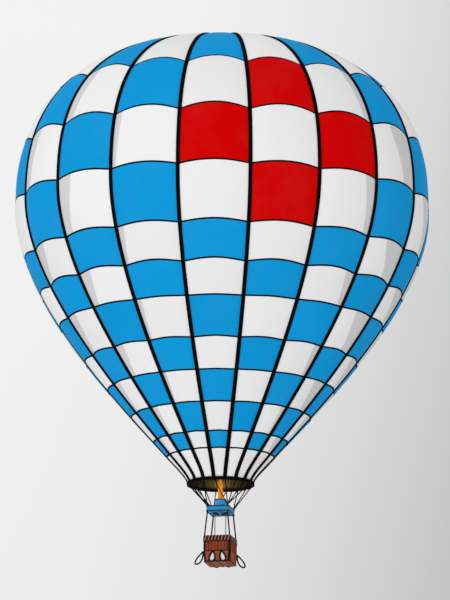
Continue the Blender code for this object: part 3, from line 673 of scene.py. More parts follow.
def makeSeamTapes(e):
    # each ring of seams: a narrow strap on the cloth from tape to tape, lower at its ends
    part = np.concatenate([[-0.6], np.linspace(0.0, 1.0, 15), [1.6]])[None, :]
    section = np.array([-1, -0.9, 0, 0.9, 1])[:, None] * e["seamWidth"] / 2
    rise = np.array([0.2, 1, 1.1, 1, 0.2])[:, None] * e["seamThick"]
    grids = []
    for z, _ in e["seams"]:
        # the curve's length at the seam's height, less its fall there, and the strap's width about it
        length = lengthAtHeight(z - seamFall(part, np.full_like(part, z))) + section
        share = part + 0 * length
        for gore in range(e["gores"]):
            outer = clothPoint(gore, share, length, 0.0005 + rise)
            inner = clothPoint(gore, share, length, -0.002)
            grids += slab(outer, inner, metresOf(outer.transpose(1, 0, 2)).transpose(1, 0, 2))
    piece = buildPiece("seam_tapes", grids, seamWebbing)
    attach(piece, "balloon")


makeLoadTapes(envelope)
makeSeamTapes(envelope)
print("tapes made")

valve = {"gap": 0.012, "sag": 0.02, "bulge": 0.07, "row": 5.5}


def makeValve(e, v):
    # parachute panel: the crown's own curve a little lower, lower still by the square of the length towards
    # its edge, and bulged between the tapes by a squared sine
    lengths = np.linspace(0.02, ventLength + e["valveOverlap"], 26)
    turns, parts = roundGores(8)
    length, turn = np.meshgrid(lengths, turns, indexing="ij")
    lift = -v["gap"] - v["sag"] * (lengths[:, None] / lengths[-1]) ** 2
    rise = lift + v["bulge"] * np.sin(math.pi * parts[None, :]) ** 2 * onCurve("r", length) / e["radius"]
    grid = raised(turn, length, rise)
    grid = np.concatenate([np.broadcast_to(grid[0].mean(axis=0), grid[:1].shape), grid])
    piece = buildPiece("valve_cloth", [(grid, metresOf(grid))], clothOutside, closed=False)
    # a face's gore comes from the angle of its centre, its corners' shares across from their own angles
    mesh = piece.data
    centres, places = np.empty(len(mesh.polygons) * 3), np.empty(len(mesh.vertices) * 3)
    sides, ends = np.empty(len(mesh.polygons), dtype=int), np.empty(len(mesh.loops), dtype=int)
    mesh.polygons.foreach_get("center", centres)
    mesh.polygons.foreach_get("loop_total", sides)
    mesh.vertices.foreach_get("co", places)
    mesh.loops.foreach_get("vertex_index", ends)
    centres, places = centres.reshape(-1, 3), places.reshape(-1, 3)[ends]
    gore = np.floor(np.mod(np.arctan2(centres[:, 0], -centres[:, 1]), 2 * math.pi) / goreStep)
    gore = np.repeat(gore, sides)
    away = np.arctan2(places[:, 0], -places[:, 1]) - (gore + 0.5) * goreStep
    away = np.mod(away + math.pi, 2 * math.pi) - math.pi
    setPanels(piece, gore + np.clip(0.5 + away / goreStep, 0.003, 0.997), np.full_like(gore, v["row"]))
    giveWall(piece)
    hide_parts("parachute_valve")
    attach(piece, "valve")


makeValve(envelope, valve)

crown = {"ringRadius": 0.225, "ringThick": 0.022, "seatRadius": 0.23, "hemEdges": (-0.02, 0.0, 0.09),
         "hemHalf": 0.006}


def makeCrownRing(c):
    # a polished ring on the tapes' upper ends, and a hem of webbing round the vent
    metal = plainMaterial("ring_alloy", (0.62, 0.63, 0.65), (0.3, 0.3, 0.31), 0.4, 6.0, 0.3, 1.0)
    z = float(onCurve("z", lengthAtRadius(c["seatRadius"])))
    ring = torus(c["ringRadius"], c["ringThick"], (0, 0, z + c["ringThick"]))
    piece = buildPiece("crown_ring", [ring], metal)
    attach(piece, "balloon")
    length = ventLength + np.array(c["hemEdges"])[:, None] + np.zeros((1, 9))
    part = np.linspace(0, 1, 9)[None, :] + 0 * length
    grids = []
    for gore in range(envelope["gores"]):
        outer = clothPoint(gore, part, length, c["hemHalf"])
        grids += slab(outer, clothPoint(gore, part, length, -c["hemHalf"]))
    hem = buildPiece("vent_hem", grids, seamWebbing)
    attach(hem, "balloon")


makeCrownRing(crown)

mouthHem = {"below": 0.030, "halfHeight": 0.070, "lift": -0.023, "halfThick": 0.041, "bulge": 0.022,
            "clothWidth": 0.4}


def makeMouthBand(m):
    # a fat black hem round the mouth: an oval section, taller than thick, carried round and pulled in at the
    # tapes; where it passes the curve's end it goes straight down
    turns, part = roundGores(12)
    around = np.linspace(0, 2 * math.pi, 17)[:, None]
    length = mouthLength + m["below"] + m["halfHeight"] * np.sin(around)
    lift = m["lift"] + m["halfThick"] * np.sign(np.cos(around)) * np.abs(np.cos(around)) ** 0.7
    rise = lift + m["bulge"] * np.abs(np.sin(math.pi * part))[None, :] ** 0.8
    base = np.minimum(length, mouthLength)
    grid = raised(turns[None, :], base, rise, length - base)
    piece = buildPiece("mouth_hem", [(grid, metresOf(grid))], makeWebbing("hem_cloth", m["clothWidth"]))
    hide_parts("mouth_band")
    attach(piece, "balloon")


makeMouthBand(mouthHem)
print("crown and mouth made")

# burner, load frame and wires
burner = {"frameSize": (0.94, 1.22), "frameTop": -12.50, "frameHeight": 0.21, "holeRadius": 0.305,
          "canRadius": 0.235, "canBase": -12.45, "canTop": -12.15, "topRim": 0.019, "baseRim": 0.012}
frameLow = burner["frameTop"] - burner["frameHeight"]
bluePaint = plainMaterial("blue_paint", (0.018, 0.260, 0.570), (0.012, 0.15, 0.36), gloss=0.1, depth=0.0005)
# the can, block and gimbal ring get a brighter copy of the blue paint: painted light for parts in shade
canPaintWithPaintedLight = plainMaterial("can_blue_paint_painted_light", (0.042, 0.47, 0.97), (0.030, 0.34, 0.72), gloss=0.1, depth=0.0005)
blackMetal = plainMaterial("black_metal", (0.0025, 0.0025, 0.003), (0.012, 0.011, 0.010), 0.35, 5.0,
                           gloss=0.2)
wireRope = plainMaterial("black_wire_rope", (0.002, 0.002, 0.0022), (0.008, 0.008, 0.009), 0.4, 8.0, 0.6,
                         gloss=0.05)
steel = plainMaterial("brushed_steel", (0.55, 0.56, 0.58), (0.22, 0.21, 0.2), 0.4, 5.0, 0.3, 1.0)
brass = plainMaterial("brass", (0.62, 0.42, 0.13), (0.25, 0.15, 0.05), 0.4, 9.0, 0.3, 1.0)


def framePoint(sideX, sideY, insetX, insetY, z):
    # a point of the load frame, set in from its corner on these sides
    width, depth = burner["frameSize"]
    return np.array([sideX * (width / 2 - insetX), sideY * (depth / 2 - insetY), z])


wires = {"rope": 0.021, "sleeve": 0.026, "sleeveLength": 0.11, "sleeveFrom": 0.08, "sleeveStep": 0.05,
         "upperSleeve": 0.12, "lugInset": 0.045, "lugRadius": 0.045, "eyeHeight": 0.014, "eyeStep": 0.007,
         "ringInset": 0.005, "endDrop": 0.02,
         "corners": {(1, -1): (0, 1, 2, 3, 4), (1, 1): (5, 6, 7, 8),
                     (-1, 1): (9, 10, 11, 12, 13), (-1, -1): (14, 15, 16, 17)}}


def makeWires(w):
    # each wire: a straight tube from a corner's lug to a tape's end, with a pressed sleeve near both ends
    lugOutline = [(0, 0), (w["lugRadius"], 0), (w["lugRadius"], 0.045), (w["lugRadius"] * 0.85, 0.058),
                  (0.026, 0.085), (0, 0.09)]
    sleeveShares = w["sleeveLength"] * np.array([0, 0.12, 0.5, 0.88, 1.0])[:, None]
    sleeveRadius = w["sleeve"] * np.array([0.78, 1.0, 1.0, 1.0, 0.78])
    ringR = float(onCurve("r", mouthLength)) - w["ringInset"]
    ringZ = envelope["mouthZ"] - w["endDrop"]
    grids = []
    for (sideX, sideY), tapes in w["corners"].items():
        lug = framePoint(sideX, sideY, w["lugInset"], w["lugInset"], burner["frameTop"])
        grids.append(turned(lugOutline, 24, lug))
        for index, tape in enumerate(tapes):
            turn = tape * goreStep
            low = lug + np.array([0, 0, w["eyeHeight"] + w["eyeStep"] * index])
            high = np.array([ringR * math.sin(turn), -ringR * math.cos(turn), ringZ])
            ahead = (high - low) / np.linalg.norm(high - low)
            grids.append(tubed(low + (high - low) * np.linspace(0, 1, 9)[:, None], w["rope"]))
            lowSleeve = low + ahead * (w["sleeveFrom"] + w["sleeveStep"] * index)
            for start, side in ((lowSleeve, 1), (high - ahead * w["upperSleeve"], -1)):
                grids.append(tubed(start + side * ahead * sleeveShares, sleeveRadius))
    piece = buildPiece("wire_ropes", grids, wireRope)
    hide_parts(*[n for n in nodes if n.startswith("flying_wires")])
    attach(piece, "balloon")


makeWires(wires)
repaint("burner_load_frame", bluePaint)
# painted light: these take the brighter copy of the blue paint
for name in ("burner_block", "burner_can", "gimbal_ring"):
    repaint(name, canPaintWithPaintedLight)
for name in ("burner_coil", "burner_jet", "blast_valve"):
    repaint(name, steel)


def makeCanTrim(b):
    # black rolled rims at the can's top and bottom
    grids = [torus(b["canRadius"], b["topRim"], (0, 0, b["canTop"] - 0.010)),
             torus(b["canRadius"] + 0.002, b["baseRim"], (0, 0, b["canBase"] + b["baseRim"]))]
    piece = buildPiece("can_trim", grids, blackMetal)
    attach(piece, "burner")


# a tongue's columns: seed of its wobble, widest radius, foot and tip
flame = {"tongues": ((3, 0.105, -12.36, -11.27), (5, 0.060, -12.355, -11.45)), "sway": (0.045, 0.030),
         "fade": (0.75, 1.18, 1.0, 0.25), "orange": (0.64, 0.17, 0.009), "yellow": (0.86, 0.33, 0.024)}


def makeFlameMaterial(f):
    # two colours in long streaks, fading towards the tip
    material, tree, shader = newMaterial("flame", 1.0, gloss=0.0)
    metres = uvMap(tree)
    streak = noise(tree, scaled(tree, metres, (9.0, 2.5, 1.0)), 1.6, 3.0)
    hot = mixed(tree, ranged(tree, streak, 0.38, 0.62), f["orange"], f["yellow"])
    tree.links.new(hot, shader.inputs["Emission Color"])
    tree.links.new(ranged(tree, separated(tree, metres)[1], *f["fade"]), shader.inputs["Alpha"])
    shader.inputs["Emission Strength"].default_value = 1.0
    shader.inputs["Base Color"].default_value = (0.0, 0.0, 0.0, 1.0)
    return material


def makeFlame(f):
    # a wavering tongue: radius swells above the jet and runs out to a point, its middle sways with height
    t = np.linspace(0, 1, 44)[:, None]
    turns = np.linspace(0, 2 * math.pi, 25)[None, :]
    swell = np.clip(t / 0.12, 0, 1) ** 0.6 * (1 - t ** 7) ** 0.8
    grids = []
    for seed, wide, low, high in f["tongues"]:
        radius = wide * swell * (1 + 0.13 * np.sin(3 * turns + 7 * t) + 0.12 * wander(9 * t, seed))
        x = radius * np.cos(turns) + f["sway"][0] * wander(7 * t, seed + 1) * t
        y = radius * np.sin(turns) + f["sway"][1] * wander(6 * t, seed + 2) * t
        z = low + (high - low) * t + 0 * turns
        uv = np.stack([turns / (2 * math.pi) * 0.6 + 0 * t, z - low], axis=-1)
        grids.append((np.stack([x, y, z], axis=-1), uv))
    piece = buildPiece("flame", grids, makeFlameMaterial(f))
    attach(piece, "burner")


makeCanTrim(burner)
makeFlame(flame)

frameTrim = {"edging": 0.023, "edgingCorner": 0.06, "edgingInset": 0.004, "lowRim": 0.022, "topRim": 0.010,
             "boltInset": 0.09, "boltCircle": 0.36, "ringBolts": 8}


def boltHead(rise, radius, washer, place, side, axis="z"):
    # a chamfered head on a washer, facing out to one side along the axis
    outline = [(0, rise), (rise, rise), (radius, rise - 0.004), (radius, 0), (washer, 0), (washer, -0.002),
               (0, -0.002)]
    return turned([(r, side * height) for r, height in outline], 12, place, axis)


def makeFrameTrim(b, f):
    # black rubber edging round the load frame's top and bottom, a rim on its opening at both faces, and bolts
    halfX, halfY = b["frameSize"][0] / 2, b["frameSize"][1] / 2
    corner = f["edgingCorner"]
    grids = []
    for z in (b["frameTop"] - f["edgingInset"], frameLow + f["edgingInset"]):
        bends = []
        for quarter, (sideX, sideY) in enumerate(((1, 1), (-1, 1), (-1, -1), (1, -1))):
            a = np.linspace(0, math.pi / 2, 9) + quarter * math.pi / 2
            bends.append(np.stack([sideX * (halfX - corner) + corner * np.cos(a),
                                   sideY * (halfY - corner) + corner * np.sin(a), np.full(9, z)], axis=-1))
        grids.append(hoop(np.concatenate(bends + [bends[0][:1]]), f["edging"]))
    grids.append(torus(b["holeRadius"] + 0.004, f["lowRim"], (0, 0, frameLow)))
    grids.append(torus(b["holeRadius"] + 0.006, f["topRim"], (0, 0, b["frameTop"])))
    piece = buildPiece("frame_edging", grids, blackMetal)
    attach(piece, "balloon")
    bolts = []
    for x in (-halfX + f["boltInset"], 0.0, halfX - f["boltInset"]):
        for side in (-1, 1):
            place = (x, side * (halfY + 0.001), b["frameTop"] - f["boltInset"])
            bolts.append(boltHead(0.010, 0.014, 0.02, place, side, "y"))
    for turn in (np.arange(f["ringBolts"]) + 0.5) * 2 * math.pi / f["ringBolts"]:
        for z, side in ((frameLow, -1), (b["frameTop"], 1)):
            place = (f["boltCircle"] * math.cos(turn), f["boltCircle"] * math.sin(turn), z)
            bolts.append(boltHead(0.009, 0.012, 0.018, place, side))
    piece = buildPiece("frame_bolts", bolts, bluePaint)
    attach(piece, "balloon")


makeFrameTrim(burner, frameTrim)
print("burner made")

# basket: heights are above its base, and the round is measured at the roundHeight
basket = {"width": 1.12, "depth": 1.30, "rimTop": -13.74, "height": 1.13, "wickerLow": 0.48, "rimLow": 0.88,
          "wall": 0.030, "corner": 0.085, "belly": 0.012, "taper": 0.028, "roundHeight": 0.6,
          "runner": 0.035, "floorThick": 0.030, "hideOut": 0.012}
baseZ = basket["rimTop"] - basket["height"]
floorTop = baseZ + basket["runner"] + basket["floorThick"]


def basketHalf(height):
    # half width and half depth: a slight belly, a sine of the height, and a taper towards the base
    share = np.asarray(height, dtype=float) / basket["height"]
    grow = basket["belly"] * np.sin(math.pi * share) - basket["taper"] * (1 - share) ** 2
    return basket["width"] / 2 + grow, basket["depth"] / 2 + grow


def basketOutline():
    # straights and corners in turn from the front left: where each begins along the round, and which corner's
    # centre and what angle it begins at
    halfX, halfY = basketHalf(basket["roundHeight"])
    r = basket["corner"]
    front, side, bend = 2 * (halfX - r), 2 * (halfY - r), math.pi * r / 2
    breaks = np.cumsum([0, front, bend, side, bend, front, bend, side, bend])
    signX = np.array([-1, 1, 1, 1, 1, -1, -1, -1, -1])
    signY = np.array([-1, -1, -1, 1, 1, 1, 1, -1, -1])
    angle = np.radians([-90, -90, 0, 0, 90, 90, 180, 180, 270])
    return breaks, signX, signY, angle


outlineBreaks, outlineX, outlineY, outlineAngle = basketOutline()
basketRound = float(outlineBreaks[-1])


def basketPoint(around, height, out=0.0):
    # a point of the basket's side: metres round it from the front left corner, height above the base and
    # distance out
    around = np.mod(around, basketRound)
    halfX, halfY = basketHalf(height)
    r = basket["corner"]
    a = np.interp(around, outlineBreaks, outlineAngle)
    x = np.interp(around, outlineBreaks, outlineX) * (halfX - r) + (r + out) * np.cos(a)
    y = np.interp(around, outlineBreaks, outlineY) * (halfY - r) + (r + out) * np.sin(a)
    return np.stack(np.broadcast_arrays(x, y, baseZ + height + 0 * x), axis=-1)


sleeve = {"radius": 0.0275, "slack": 0.0016, "gather": 0.004, "gathers": (0.02, 0.98), "gatherLength": 0.02,
          "seam": 0.004, "seamOut": 0.0285, "footInset": 0.035, "headInset": 0.05}
sleeveHide = plainMaterial("black_sleeve_hide", (0.0025, 0.0022, 0.0022), (0.010, 0.009, 0.008), 0.45, 5.0,
                           0.7, gloss=0.15, depth=0.002)


def makeSleeve(name, foot, head, s):
    # a leather sleeve on a pole: a radius with a slow wobble, gathered near both ends by a bell curve,
    # and a raised seam on its outer side
    t = np.linspace(0, 1, 90)
    path = foot + t[:, None] * (head - foot)
    bells = sum(np.exp(-((t - place) / s["gatherLength"]) ** 2) for place in s["gathers"])
    radius = s["radius"] + s["slack"] * wander(42 * t, len(name)) + s["gather"] * bells
    seam = path + np.array([s["seamOut"] * np.sign(foot[0]), 0, 0])
    strips = [tubed(path, radius, 16, reference=(0, 1, 0)), tubed(seam, s["seam"], 6, reference=(0, 1, 0))]
    piece = buildPiece(name, strips, sleeveHide)
    return piece


def makeUprights(s):
    # the four sleeved poles, from just inside the rim's corners to the load frame's underside
    halfX, halfY = (float(v) - s["footInset"] for v in basketHalf(basket["height"]))
    corners = (("front_right", 1, -1), ("back_right", 1, 1), ("back_left", -1, 1), ("front_left", -1, -1))
    for cornerName, sideX, sideY in corners:
        foot = np.array([sideX * halfX, sideY * halfY, basket["rimTop"] - 0.004])
        head = framePoint(sideX, sideY, s["headInset"], s["headInset"], frameLow - 0.001)
        piece = makeSleeve("sleeve_" + cornerName, foot, head, s)
        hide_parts("upright_" + cornerName)
        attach(piece, "balloon")


makeUprights(sleeve)

fuel = {"inset": 0.25, "height": 0.70, "valveHeight": 0.07, "hose": 0.016, "hoseInset": (0.12, 0.07),
        "strapHeights": (0.20, 0.50), "wheelRadius": 0.035, "wheelOut": 0.055, "wheelHeight": 0.04}
hoseRubber = plainMaterial("hose_rubber", (0.012, 0.012, 0.013), (0.03, 0.03, 0.032), scale=9.0, gloss=0.15,
                           depth=0.0006)
shell = plainMaterial("cylinder_alloy", (0.60, 0.61, 0.63), (0.33, 0.33, 0.34), 0.35, 4.0, 0.36, 1.0)


def makeHose(sideName, start, head, f):
    # a straight tube from the cylinder's valve to the load frame, with a six-sided nut at each end
    t = np.linspace(0, 1, 24)[:, None]
    path = start + t * (head - start)
    hose = buildPiece("hose_" + sideName, [tubed(path, f["hose"], 14, reference=(0, 1, 0))], hoseRubber)
    lowNut = [(0, 0), (0.024, 0), (0.024, 0.03), (0.019, 0.036), (0.019, 0.05), (0, 0.05)]
    topNut = [(0, 0), (0.022, 0), (0.022, -0.035), (0.018, -0.045), (0, -0.045)]
    nuts = [turned(lowNut, 6, start - np.array([0, 0, 0.004])), turned(topNut, 6, head)]
    fittings = buildPiece("hose_nuts_" + sideName, nuts, brass)
    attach(fittings, "balloon")
    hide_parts("fuel_hose_" + sideName)
    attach(hose, "balloon")


def makeCylinderTrim(sideName, x, y, f):
    # two straps round the cylinder, and its hand wheel: a ring, a hub and three spokes
    strap = [(0.151, -0.02), (0.156, -0.018), (0.156, 0.018), (0.151, 0.02), (0.149, 0.0), (0.151, -0.02)]
    rings = [turned(strap, 40, (x, y, floorTop + height)) for height in f["strapHeights"]]
    straps = buildPiece("cylinder_straps_" + sideName, rings, seamWebbing)
    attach(straps, "balloon")
    hub = np.array([x + f["wheelOut"], y, floorTop + f["height"] + f["wheelHeight"]])
    wheel = [torus(f["wheelRadius"], 0.007, hub, "x", 24, 8),
             tubed(np.linspace(hub - np.array([0.035, 0, 0]), hub + np.array([0.003, 0, 0]), 4), 0.008, 8)]
    for a in np.arange(3) * 2 * math.pi / 3:
        tip = hub + f["wheelRadius"] * np.array([0, math.cos(a), math.sin(a)])
        wheel.append(tubed(np.linspace(hub, tip, 3), 0.004, 6, reference=(1, 0, 0)))
    hand = buildPiece("hand_wheel_" + sideName, wheel, brass)
    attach(hand, "balloon")


for sideName, sideX, sideY in (("right", 1, -1), ("left", -1, 1)):
    x, y = sideX * (basket["width"] / 2 - fuel["inset"]), sideY * (basket["depth"] / 2 - fuel["inset"])
    start = np.array([x, y, floorTop + fuel["height"] + fuel["valveHeight"]])
    makeHose(sideName, start, framePoint(sideX, sideY, *fuel["hoseInset"], frameLow), fuel)
    repaint("fuel_cylinder_" + sideName, shell)
    makeCylinderTrim(sideName, x, y, fuel)
print("uprights and fuel made")

# columns are shares of a cane's width, crowded at its sides; the gap colours are painted shade
wicker = {"canes": 108, "columns": (0.0, 0.05, 0.14, 0.3, 0.5, 0.7, 0.86, 0.95), "weaverStep": 0.045,
          "deep": (0.335, 0.038, 0.009), "bright": (0.425, 0.070, 0.011), "brown": (0.265, 0.095, 0.070),
          "gap": (0.03, 0.012, 0.008), "paintedWideGapShade": (0.03, 0.008, 0.005)}


def makeWickerMaterial(w):
    # canes in three browns, chosen cane by cane, with painted shade in the gaps, darkest in a wide gap every
    # third cane
    material, tree, shader = newMaterial("wicker", 0.65, gloss=0.06)
    uv = uvMap(tree)
    cane = separated(tree, uv)[0]
    pick = put(tree, "ShaderNodeTexWhiteNoise", None, maths(tree, "FLOOR", cane), noise_dimensions="1D")
    colour = mixed(tree, ranged(tree, pick, 0.3, 0.45), w["deep"], w["bright"])
    colour = mixed(tree, ranged(tree, pick, 0.76, 0.8), colour, w["brown"])
    # painted shade darkens each cane's edges, where the gaps between canes are
    gap = ranged(tree, apart(tree, maths(tree, "FRACT", cane), 0.5), 0.36, 0.47)
    colour = mixed(tree, gap, colour, w["gap"])
    # painted shade, darker still, in a wide gap every third cane
    third = maths(tree, "FRACT", maths(tree, "DIVIDE", cane, 3.0))
    paintedWideGapShade = maths(tree, "GREATER_THAN", apart(tree, third, 0.5), 0.36)
    colour = mixed(tree, maths(tree, "MULTIPLY", paintedWideGapShade, 0.85), colour, w["paintedWideGapShade"])
    grain = noise(tree, scaled(tree, uv, (3.0, 12.0, 1.0)), 2.0, 4.0)
    colour = toned(tree, colour, ranged(tree, grain, 0.3, 0.7, 0.75, 1.15))
    finishWith(tree, shader, colour, None, grain, 0.002, 0.6)
    return material


def makeWicker(b, w):
    # upright canes round the wall: a half circle across each cane, pressed in and out by a cosine along its
    # height where weavers would pass
    cane = (np.arange(w["canes"])[:, None] + np.array(w["columns"])[None, :]).ravel()
    cane = np.append(cane, w["canes"])[None, :]
    heights = np.concatenate([np.linspace(b["runner"], 0.50, 6), np.linspace(0.52, b["rimLow"] + 0.004, 48)])
    heights = heights[:, None]
    number, fraction = np.floor(cane), np.mod(cane, 1.0)
    halfRound = np.sqrt(np.clip(1 - ((fraction - 0.5) / 0.45) ** 2, 0, 1))
    weaving = np.cos(math.pi * heights / w["weaverStep"] + math.pi * number)
    out = -0.004 + 0.010 * halfRound * (0.78 + 0.22 * weaving)
    inward = -b["wall"] - 0.006 + 0.009 * halfRound * (0.78 - 0.22 * weaving)
    around = cane / w["canes"] * basketRound
    outer, inner = basketPoint(around, heights, out), basketPoint(around, heights, inward)
    uv = np.stack(np.broadcast_arrays(cane, heights), axis=-1)
    ends = [between(outer[k], inner[k], uv[k]) for k in (0, -1)]
    piece = buildPiece("wicker_walls", [(outer, uv), (inner, uv)] + ends, makeWickerMaterial(w))
    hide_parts("basket_wall_front", "basket_wall_right", "basket_wall_back", "basket_wall_left")
    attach(piece, "balloon")


def bandPoint(around, section, band, lift=0.0):
    # a band's skin: a squarish oval section, whose sine and cosine are raised to small powers, carried round
    # the basket; the section runs from 0 to 1 round the oval
    angle = section * 2 * math.pi
    wide = np.sign(np.cos(angle)) * np.abs(np.cos(angle)) ** band["powers"][0]
    tall = np.sign(np.sin(angle)) * np.abs(np.sin(angle)) ** band["powers"][1]
    middle, half = (band["low"] + band["high"]) / 2, (band["high"] - band["low"]) / 2
    out = band["out"] - band["thick"] / 2 + (band["thick"] / 2 + lift) * wide
    return basketPoint(around, middle + (half + lift) * tall, out)


def makeLeather(name, colour, stain, amount=0.6, scale=3.0, rough=0.55):
    # mottled hide with fine pores
    material, tree, shader = newMaterial(name, rough, gloss=0.06)
    place = objectPlace(tree)
    out = useGroup(tree, mottle, Place=place, Colour=colour, Stain=stain, Amount=amount, Scale=scale,
                   Rough=rough)
    pores = put(tree, "ShaderNodeTexVoronoi", place, None, 160.0)
    height = maths(tree, "ADD", maths(tree, "MULTIPLY", pores, 0.25), out["Height"])
    finishWith(tree, shader, out["Colour"], out["Roughness"], height, 0.003)
    return material


rim = {"low": basket["rimLow"], "high": basket["height"] - 0.002, "out": 0.020, "thick": 0.070,
       "powers": (0.55, 0.28), "pinch": 0.004, "laces": 34, "laceSteps": 26, "laceWidth": 0.030,
       "laceLean": 0.14, "hide": (0.045, 0.0070, 0.0045), "lace": (0.34, 0.20, 0.155)}


def makeRim(b):
    # padded hide over the top edge, pinched by a sine where each lace crosses it
    around = np.linspace(0, basketRound, 433)[None, :]
    section = np.linspace(0, 1, 33)[:, None]
    laces = np.sin(around / basketRound * b["laces"] * 2 * math.pi)
    pinch = b["pinch"] * laces * np.cos(section * 2 * math.pi)
    grid = bandPoint(around, section, b, pinch)
    leather = makeLeather("rim_leather", b["hide"], (0.025, 0.005, 0.003))
    piece = buildPiece("rim_hide", [(grid, metresOf(grid))], leather)
    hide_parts("basket_rim")
    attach(piece, "balloon")


def makeLace(b):
    # one long lace wound round the rim, leaned by a sine: it climbs the outside on a slant and comes down the
    # inside nearly upright
    t = np.linspace(0, b["laces"], b["laces"] * b["laceSteps"] + 1)
    section = np.mod(t, 1.0)
    path = t / b["laces"] * basketRound + b["laceLean"] * np.sin(section * 2 * math.pi) / 2
    ahead = np.gradient(path, t)
    sectionLength = 2 * (basket["height"] - b["low"]) + 2 * b["thick"]
    size = np.hypot(ahead, sectionLength)
    # across the lace and its lift: outer face from edge to edge, then back underneath
    across = np.array([-1, -0.8, 0, 0.8, 1, 0, -1])[:, None] * b["laceWidth"] / 2
    lift = 0.003 + np.array([0.0, 0.003, 0.005, 0.003, 0.0, -0.002, 0.0])[:, None] + 0 * path
    around = path + across * sectionLength / size
    ribbon = bandPoint(around, section - across * ahead / size / sectionLength, b, lift)
    leather = makeLeather("lace_leather", b["lace"], (0.20, 0.11, 0.08), 0.5, 6.0)
    lace = buildPiece("rim_lace", [(ribbon, metresOf(ribbon))], leather, closed=False)
    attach(lace, "balloon")


lowBand = {"low": basket["runner"], "high": basket["wickerLow"], "out": basket["hideOut"] + 0.001,
           "thick": 0.013, "powers": (0.3, 0.9), "slack": 0.0022, "join": 0.1, "hide": (0.31, 0.080, 0.029)}


def makeHide(b):
    # the lower band: hide stretched round the base, a little slack, which runs out where its ends join
    around = np.linspace(0, basketRound, 361)[None, :]
    section = np.linspace(0, 1, 41)[:, None]
    join = np.clip(np.minimum(around, basketRound - around) / b["join"], 0, 1)
    slack = b["slack"] * (join * wander(around * 6.0, 11)) + 0 * section
    grid = bandPoint(around, section, b, slack)
    leather = makeLeather("band_leather", b["hide"], (0.37, 0.058, 0.018), 0.8, 5.0)
    piece = buildPiece("hide_band", [(grid, metresOf(grid))], leather)
    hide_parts("basket_hide")
    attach(piece, "balloon")


# a piping's columns: height, distance out, radius; a guard stands out more on the hide than on the wicker
edging = {"piping": ((basket["wickerLow"], 0.008, 0.018), (basket["rimLow"], 0.013, 0.018),
                     (basket["runner"] + 0.016, 0.012, 0.024)),
          "guardHalf": 0.066, "guardOut": (0.016, 0.008), "guardThick": 0.007, "guardCrown": 0.003}


def makeEdging(b, e):
    # black piping between the bands and round the base, and black hide over the four corners
    around = np.linspace(0, basketRound, 241)
    piping = [hoop(basketPoint(around, height, out), radius) for height, out, radius in e["piping"]]
    piece = buildPiece("band_piping", piping, sleeveHide)
    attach(piece, "balloon")
    heights = np.linspace(b["runner"] - 0.004, b["rimLow"] + 0.01, 60)[:, None]
    across = np.linspace(-e["guardHalf"], e["guardHalf"], 13)[None, :]
    out = np.where(heights < b["wickerLow"], *e["guardOut"])
    out = out + e["guardCrown"] * np.cos(across / e["guardHalf"] * math.pi / 2)
    strips = []
    for k in (1, 3, 5, 7):
        around = (outlineBreaks[k] + outlineBreaks[k + 1]) / 2 + across
        strips += slab(basketPoint(around, heights, out), basketPoint(around, heights, out - e["guardThick"]))
    piece = buildPiece("corner_guards", strips, sleeveHide)
    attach(piece, "balloon")


base = {"runners": (-0.36, 0.0, 0.36), "runnerHalf": 0.036, "hem": (0.01, 0.02), "thick": 0.0035}


def makeBase(b, f):
    # the floor keeps its solid and gets wood; hide is stretched under it between the runners, rippled by
    # sines along and across
    wood = plainMaterial("floor_wood", (0.22, 0.080, 0.032), (0.10, 0.035, 0.015), 0.6, 6.0, 0.7, gloss=0.2,
                         depth=0.002)
    repaint("basket_floor", wood)
    halfX, halfY = basketHalf(b["runner"])
    halfX, halfY = halfX - f["hem"][0], halfY - f["hem"][1]
    edges = [-halfX] + [x + side * f["runnerHalf"] for x in f["runners"] for side in (-1, 1)] + [halfX]
    grids = []
    for left, right in zip(edges[::2], edges[1::2]):
        x, y = np.meshgrid(np.linspace(left, right, 8), np.linspace(-halfY, halfY, 30), indexing="ij")
        z = baseZ + b["runner"] - 0.004 - 0.0015 * np.sin(x * 30) * np.sin(y * 12)
        outer = np.stack([x, y, z], axis=-1)
        grids += slab(outer, outer + np.array([0, 0, f["thick"]]))
    leather = makeLeather("base_leather", (0.30, 0.075, 0.028), (0.25, 0.048, 0.018), 0.6, 4.0)
    piece = buildPiece("base_hide", grids, leather)
    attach(piece, "balloon")


makeWicker(basket, wicker)
makeRim(rim)
makeLace(rim)
makeHide(lowBand)
makeEdging(basket, edging)
makeBase(basket, base)
print("basket made")

# rope is half the rope's thickness, seat how far the middle of a side loop's rope is from the hide,
# and standOut how far a side loop's foot is from its top
loops = {"rope": 0.034, "width": 0.28, "strands": 3, "pitch": 0.13, "seat": 0.0238, "gap": 0.0006,
         "drop": 0.005, "cornerInset": 0.12, "height": 0.44, "sideHeight": 0.52, "standOut": 0.27,
         "patch": 0.93, "patchMiddle": 0.62, "patchOut": 0.004, "patchCrown": 0.002, "patchThick": 0.006}


def loopPath(anchor, lean, height, count=97):
    # a teardrop: it drops by a cosine and widens by a sine times a power of the half angle's sine
    t = np.linspace(0, 2 * math.pi, count)
    drop = (1 - np.cos(t)) / 2
    wide = np.sin(t) * np.sin(t / 2) ** 1.2 * loops["width"] / 2 / 0.86
    return np.array(anchor) + np.stack([wide + drop * lean, 0 * t, -drop * height], axis=-1)


def makeRopeMaterial():
    # black twisted rope, lighter where the strands are worn
    material, tree, shader = newMaterial("black_rope", 0.85, gloss=0.1)
    uv = uvMap(tree)
    out = useGroup(tree, mottle, Place=uv, Colour=(0.0025, 0.0022, 0.0022), Stain=(0.012, 0.011, 0.010),
                   Amount=0.5, Scale=14.0, Rough=0.85)
    fibres = useGroup(tree, weave, Place=uv, Pitch=0.006)["Height"]
    finishWith(tree, shader, out["Colour"], out["Roughness"], fibres, 0.001, 0.6)
    return material


blackRope = makeRopeMaterial()
palePatch = plainMaterial("pale_canvas", (0.90, 0.90, 0.90), (0.72, 0.70, 0.68), 0.25, 9.0, 0.8, uv=True)


